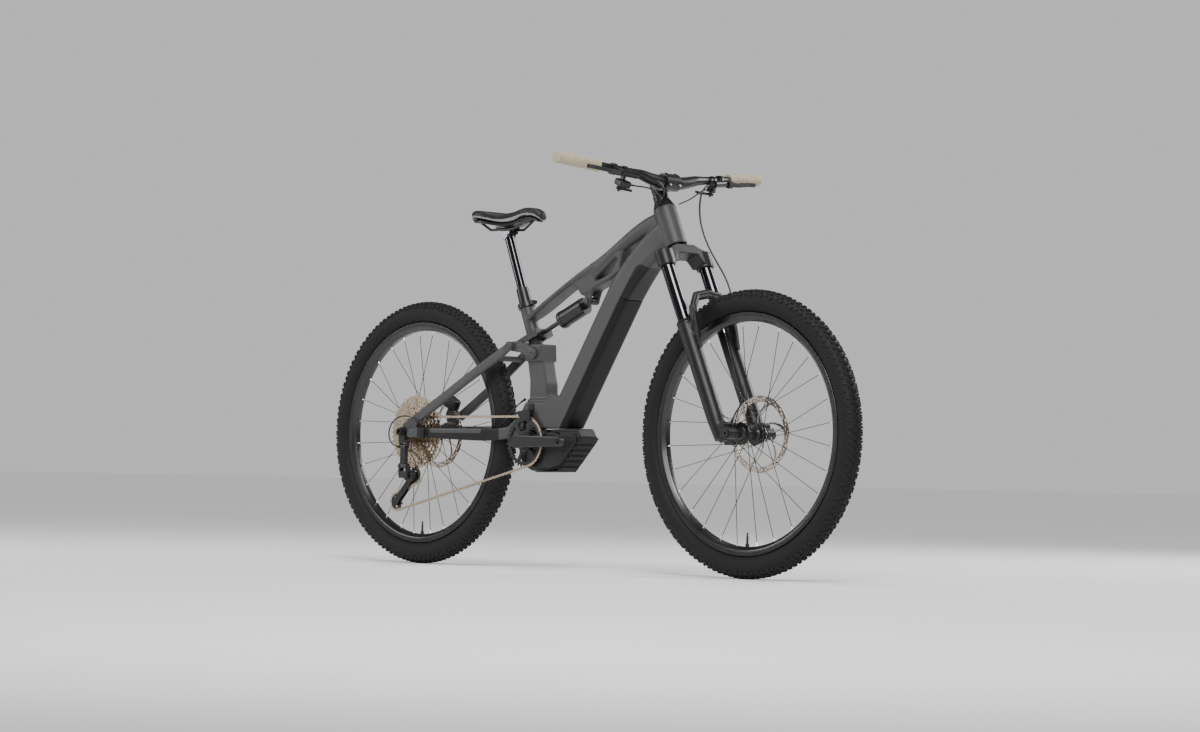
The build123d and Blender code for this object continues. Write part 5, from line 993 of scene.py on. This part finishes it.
def grip_ends():
    """Centres of the left grip's two ends, from the vertices of its CAD node."""
    points = [v.co for v in NODES["grips"].data.vertices if v.co.y > 0]
    reach = [p.y for p in points]
    near = [p for p in points if p.y < min(reach) + 0.004]
    far = [p for p in points if p.y > max(reach) - 0.004]

    def middle(group):
        low = Vector((min(p[i] for p in group) for i in range(3)))
        high = Vector((max(p[i] for p in group) for i in range(3)))
        return (low + high) / 2

    return middle(near), middle(far)


GRIP_ROOT, GRIP_TIP = grip_ends()


def make_grips():
    """Cream grips with fine ribs in three bands, a flange inside and a domed end."""
    for s, side in ((1, "left"), (-1, "right")):
        root, tip = (Vector((p.x, s * p.y, p.z)) for p in (GRIP_ROOT, GRIP_TIP))
        length = (tip - root).length
        outline = [(0.0112, 0.0), (0.0165, 0.0), (0.0175, 0.0010), (0.0175, 0.0040), (0.0160, 0.0058)]
        along = 0.0080
        while along < length - 0.0120:
            band = (along % 0.042) / 0.042
            outline += [(0.0154, along), (0.0163, along + 0.0009), (0.0164, along + 0.0017),
                        (0.0163, along + 0.0025), (0.0154, along + 0.0034)]
            along += 0.0043 if band < 0.88 else 0.0070
        outline += [(0.0158, length - 0.0075), (0.0169, length - 0.0065), (0.0169, length - 0.0025),
                    (0.0158, length - 0.0005), (0.0120, length), (0, length)]
        form = Form()
        form.turned(outline, root, tip - root, sides=48)
        stands_for = ["grips"] if s > 0 else ()
        piece("grip_" + side, form, "steering", "grip_rubber", "grip", stands_for, crease=40)


def make_bar():
    """The riser bar as one smooth butted tube."""
    spots = []
    slope = (GRIP_TIP - GRIP_ROOT) / (GRIP_TIP.y - GRIP_ROOT.y)
    for out, radius in ((0.110, 0.0128), (0.128, 0.0118), (0.150, 0.0111), (0.200, 0.0111),
                        (0.260, 0.0111), (0.381, 0.0111)):
        spots.append((GRIP_ROOT + slope * (out - GRIP_ROOT.y), radius))
    middle = [(BAR_CENTRE + ACROSS * y, 0.0175) for y in (0.0, 0.030, 0.036)]
    rise = spots[0][0]
    for share, radius in ((0.15, 0.0172), (0.35, 0.0160), (0.6, 0.0145), (0.82, 0.0133)):
        eased = share * share * (3 - 2 * share)
        flat = middle[-1][0]
        middle.append((Vector((flat.x + (rise.x - flat.x) * eased, flat.y + (rise.y - flat.y) * share,
                               flat.z + (rise.z - flat.z) * eased)), radius))
    half = middle + spots
    whole = [(Vector((point.x, -point.y, point.z)), radius) for point, radius in half[:0:-1]] + half
    form = Form()
    form.swept(*zip(*whole), sides=40)
    piece("riser_bar", form, "steering", "black_alloy", "alloy", ["handlebar"], crease=50)


def make_cockpit():
    make_bar()
    make_grips()
    for node, bevel in (("stem", 0.9), ("brake_masters", 0.8), ("bar_controls", 0.6),
                        ("headset_spacers", 0.5), ("brake_lever_left", 0.9), ("brake_lever_right", 0.9),
                        ("shift_lever_up", 0.7), ("shift_lever_down", 0.7), ("dropper_lever", 0.8)):
        keep(node, "alloy" if "lever" not in node or "brake" in node else "casing", bevel)
    bolts = Form()
    for y in (-18, 18):
        for up in (-1, 1):
            bolts.bolt(steer(STEM_REACH + 19, y, STEM_MIDDLE + up * 18), STEER_AHEAD, 3.2, 2.2, 1.6)
    bolts.bolt(steer(0, 0, STEM_MIDDLE + STEM_HALF + 4), STEER_UP, 4.0, 1.6, 2.2)
    piece("cockpit_bolts", bolts, "steering", "hardware", "steel", crease=30)


# ================================================================ frame
def make_frame():
    waist = [(430, 92), (430, 197), (545, 197), (545, 92)]
    brow = [(526, 100), (524, 135), (516, 165), (509, 194), (505, 260), (560, 260), (560, 100)]
    moulding("main_frame", 2.2, 9, "frame_paint", [(waist, 23, 60), (waist, -60, -23), (brow, -60, 60)])
    moulding("chainstays", 1.6, 6, "stay_paint")
    moulding("seatstays", 1.6, 6, "paint")
    moulding("rocker_link", 1.3, 4, "paint")
    nose = [(673, -14), (586, -104), (560, -140), (720, -140), (720, -14)]
    moulding("drive_unit", 1.7, 3, "casing", [(nose, -60, 60)])
    make_skid()
    moulding("battery_cover", 1.8, 4, "cover")
    keep("battery_pack", "cover")
    keep("frame_hardware", "alloy", 0.4)
    keep("chain_guide", "casing", 0.5)
    keep("chainstay_guard", "rubber", 0.8)
    keep("rear_axle", "alloy", 0.4)


def make_skid():
    """Guard under the motor's front, with ridges across its slope."""
    form = Form()
    half = 36
    outer = [(500, -108.5), (588, -106.5), (677, -13), (673.5, -13), (587, -103.5), (500, -105.5)]
    form.prism([behind(x, z, -half) for x, z in outer], ACROSS * 2 * half * MM)
    low, high = Vector((588, -106.5)), Vector((677, -13))
    slope = (high - low).normalized()
    out = Vector((slope.y, -slope.x))
    for share in (0.08, 0.24, 0.40, 0.56, 0.72):
        foot = low + (high - low) * share
        ridge = [foot, foot + slope * 3 + out * 3.6, foot + slope * 8 + out * 3.6, foot + slope * 12]
        form.prism([behind(x, z, 4 - half) for x, z in ridge], ACROSS * 2 * (half - 4) * MM)
    piece("motor_skid", form, "frame", SLOT_OF["motor_skid_plate"], "cover", ["motor_skid_plate"],
          bevel=0.8)


# ================================================================ fork, post, shock
SHOCK_CAN_LENGTH = 0.124
# The fork legs' place ahead of the steering axis and to each side, and their top edge, in mm.
LEG_AHEAD, LEG_SIDE, LOWERS_TOP = 12, 73, -68 - 166


def make_suspension():
    moulding("fork_lowers", 1.6, 5, "fork")
    moulding("fork_crown", 1.5, 4, "fork")
    keep("fork_stanchions", "stanchion")
    keep("front_axle", "alloy", 0.4)
    moulding("front_caliper", 0.9, 3, "alloy")
    moulding("rear_caliper", 0.9, 3, "alloy")
    keep("shock_can", "alloy", 0.6)
    keep("shock_shaft", "alloy", 0.5)
    keep("dropper_outer_tube", "alloy", 0.4)
    keep("dropper_upper_tube", "stanchion", 0.4)
    seals = Form()
    for s in (-1, 1):
        seals.turned([(0.01765, 0), (0.0232, 0), (0.0236, 0.001), (0.0225, 0.004), (0.0205, 0.0058),
                      (0.0190, 0.0075), (0.01765, 0.0078)],
                     steer(LEG_AHEAD, s * LEG_SIDE, LOWERS_TOP), STEER_UP, sides=48, closed=True)
    piece("fork_wipers", seals, "fork_slider", "rubber", "rubber", crease=40)
    brace = Form()
    for s in (-1, 1):
        outline = [(33, -306), (35, -244), (40, -214), (44, -199), (58, -199), (58, -222), (50, -268),
                   (38, -318)]
        brace.prism([steer(ahead, s * 66, up) for ahead, up in outline], ACROSS * (s * 13 * MM))
    piece("fork_brace", brace, "fork_slider", SLOT_OF["fork_lowers"], "fork", crease=30, bevel=2.4)
    ring = Form()
    stroke = Vector(JOINTS["shock_stroke"]["axis"]).normalized()
    mouth = joint_at("shock_mount") - stroke * SHOCK_CAN_LENGTH
    ring.turned([(0.0075, 0.002), (0.0135, 0.002), (0.0142, 0.0035), (0.0135, 0.005), (0.0075, 0.005)],
                mouth, -stroke, sides=36, closed=True)
    piece("travel_ring", ring, "shock_body", "rubber", "red", crease=40)


# ================================================================ drive train keepers
def make_drive():
    make_cassette()
    make_chainring()
    make_pulleys()
    make_chain()
    moulding("crank_arms", 1.3, 5, "alloy")
    keep("derailleur_link", "alloy", 0.6)
    keep("derailleur_knuckle", "alloy", 0.6)
    keep("derailleur_cage", "alloy", 0.4)


# ================================================================ saddle
def make_saddle():
    """The padded cover, swollen a little by a short cloth simulation, over its shell and rails."""
    obj = melted("saddle_cover", 3.0, 4, "saddle_pad")
    swell(obj)
    smooth = obj.modifiers.new("smooth", "SMOOTH")
    smooth.factor, smooth.iterations = 0.5, 3
    fine = obj.modifiers.new("fine", "SUBSURF")
    fine.levels = fine.render_levels = 1
    applied(obj)
    obj.data.shade_smooth()
    finish_piece(obj, "saddle_post", "saddle_skin", ["saddle", "saddle_edge"], ["saddle_cover"])
    for face in obj.data.polygons:
        face.material_index = 1 if -0.62 < face.normal.z < -0.22 else 0
    keep("saddle_frame", "alloy", 0.4)


def swell(obj, most=0.0015):
    """Pressure on the pad's cover, with every point held within a small distance of its start."""
    shrink = obj.modifiers.new("shrink", "DISPLACE")
    shrink.mid_level = 0.0
    shrink.strength = -0.001
    applied(obj)
    start = [vertex.co.copy() for vertex in obj.data.vertices]
    cloth = obj.modifiers.new("cloth", "CLOTH")
    cloth.settings.use_pressure = True
    cloth.settings.uniform_pressure_force = 4
    cloth.settings.effector_weights.gravity = 0
    cloth.point_cache.frame_start, cloth.point_cache.frame_end = 1, 20
    for step in range(1, 21):
        bpy.context.scene.frame_set(step)
    applied(obj)
    bpy.context.scene.frame_set(1)
    for vertex, home in zip(obj.data.vertices, start):
        moved = vertex.co - home
        if moved.length > most:
            vertex.co = home + moved * (most / moved.length)


# ================================================================ stage
def make_stage():
    floor = Form()
    far = 150
    floor.add([(-far, -far, 0), (far, -far, 0), (far, far, 0), (-far, far, 0)], [(0, 1, 2, 3)])
    mesh = bpy.data.meshes.new("floor")
    mesh.from_pydata(floor.points, [], floor.faces)
    obj = bpy.data.objects.new("floor", mesh)
    mesh.materials.append(LOOKS["floor"])
    bpy.context.scene.collection.objects.link(obj)
    world = bpy.data.worlds.new("studio")
    bpy.context.scene.world = world
    world.use_nodes = True
    nodes, links = world.node_tree.nodes, world.node_tree.links
    fill, seen = nodes["Background"], nodes.new("ShaderNodeBackground")
    fill.inputs["Color"].default_value = (0.80, 0.81, 0.83, 1)
    fill.inputs["Strength"].default_value = 0.20
    seen.inputs["Color"].default_value = (0.80, 0.80, 0.80, 1)
    seen.inputs["Strength"].default_value = 0.77
    rays, either = nodes.new("ShaderNodeLightPath"), nodes.new("ShaderNodeMixShader")
    links.new(rays.outputs["Is Camera Ray"], either.inputs["Fac"])
    links.new(fill.outputs["Background"], either.inputs[1])
    links.new(seen.outputs["Background"], either.inputs[2])
    links.new(either.outputs["Shader"], nodes["World Output"].inputs["Surface"])
    # place, aim, size across and up, watts
    lamps = [
        ((3.4, -3.2, 2.6), (0, 0, 0.6), 1.6, 2.6, 110), ((-3.4, -3.0, 2.2), (-0.3, 0, 0.5), 1.2, 2.4, 80),
        ((1.0, 3.8, 2.4), (0, 0, 0.6), 2.6, 1.6, 120), ((0, 0, 4.2), (0, 0, 0), 3.2, 1.6, 70),
    ]
    for index, (place, aim, wide, tall, power) in enumerate(lamps):
        data = bpy.data.lights.new(f"softbox_{index}", "AREA")
        data.shape, data.size, data.size_y, data.energy = "RECTANGLE", wide, tall, power
        lamp = bpy.data.objects.new(f"softbox_{index}", data)
        lamp.location = place
        lamp.rotation_mode = "QUATERNION"
        lamp.rotation_quaternion = (Vector(aim) - Vector(place)).to_track_quat("-Z", "Y")
        bpy.context.scene.collection.objects.link(lamp)
    data = bpy.data.lights.new("wide_key", "SUN")
    data.energy, data.angle = 2.4, math.radians(25)
    lamp = bpy.data.objects.new("wide_key", data)
    lamp.rotation_mode = "QUATERNION"
    lamp.rotation_quaternion = Vector((-3.0, 2.6, -4.4)).to_track_quat("-Z", "Y")
    bpy.context.scene.collection.objects.link(lamp)


make_camera()
make_cords()
make_wheels()
make_frame()
make_suspension()
make_cockpit()
make_drive()
make_saddle()
make_stage()
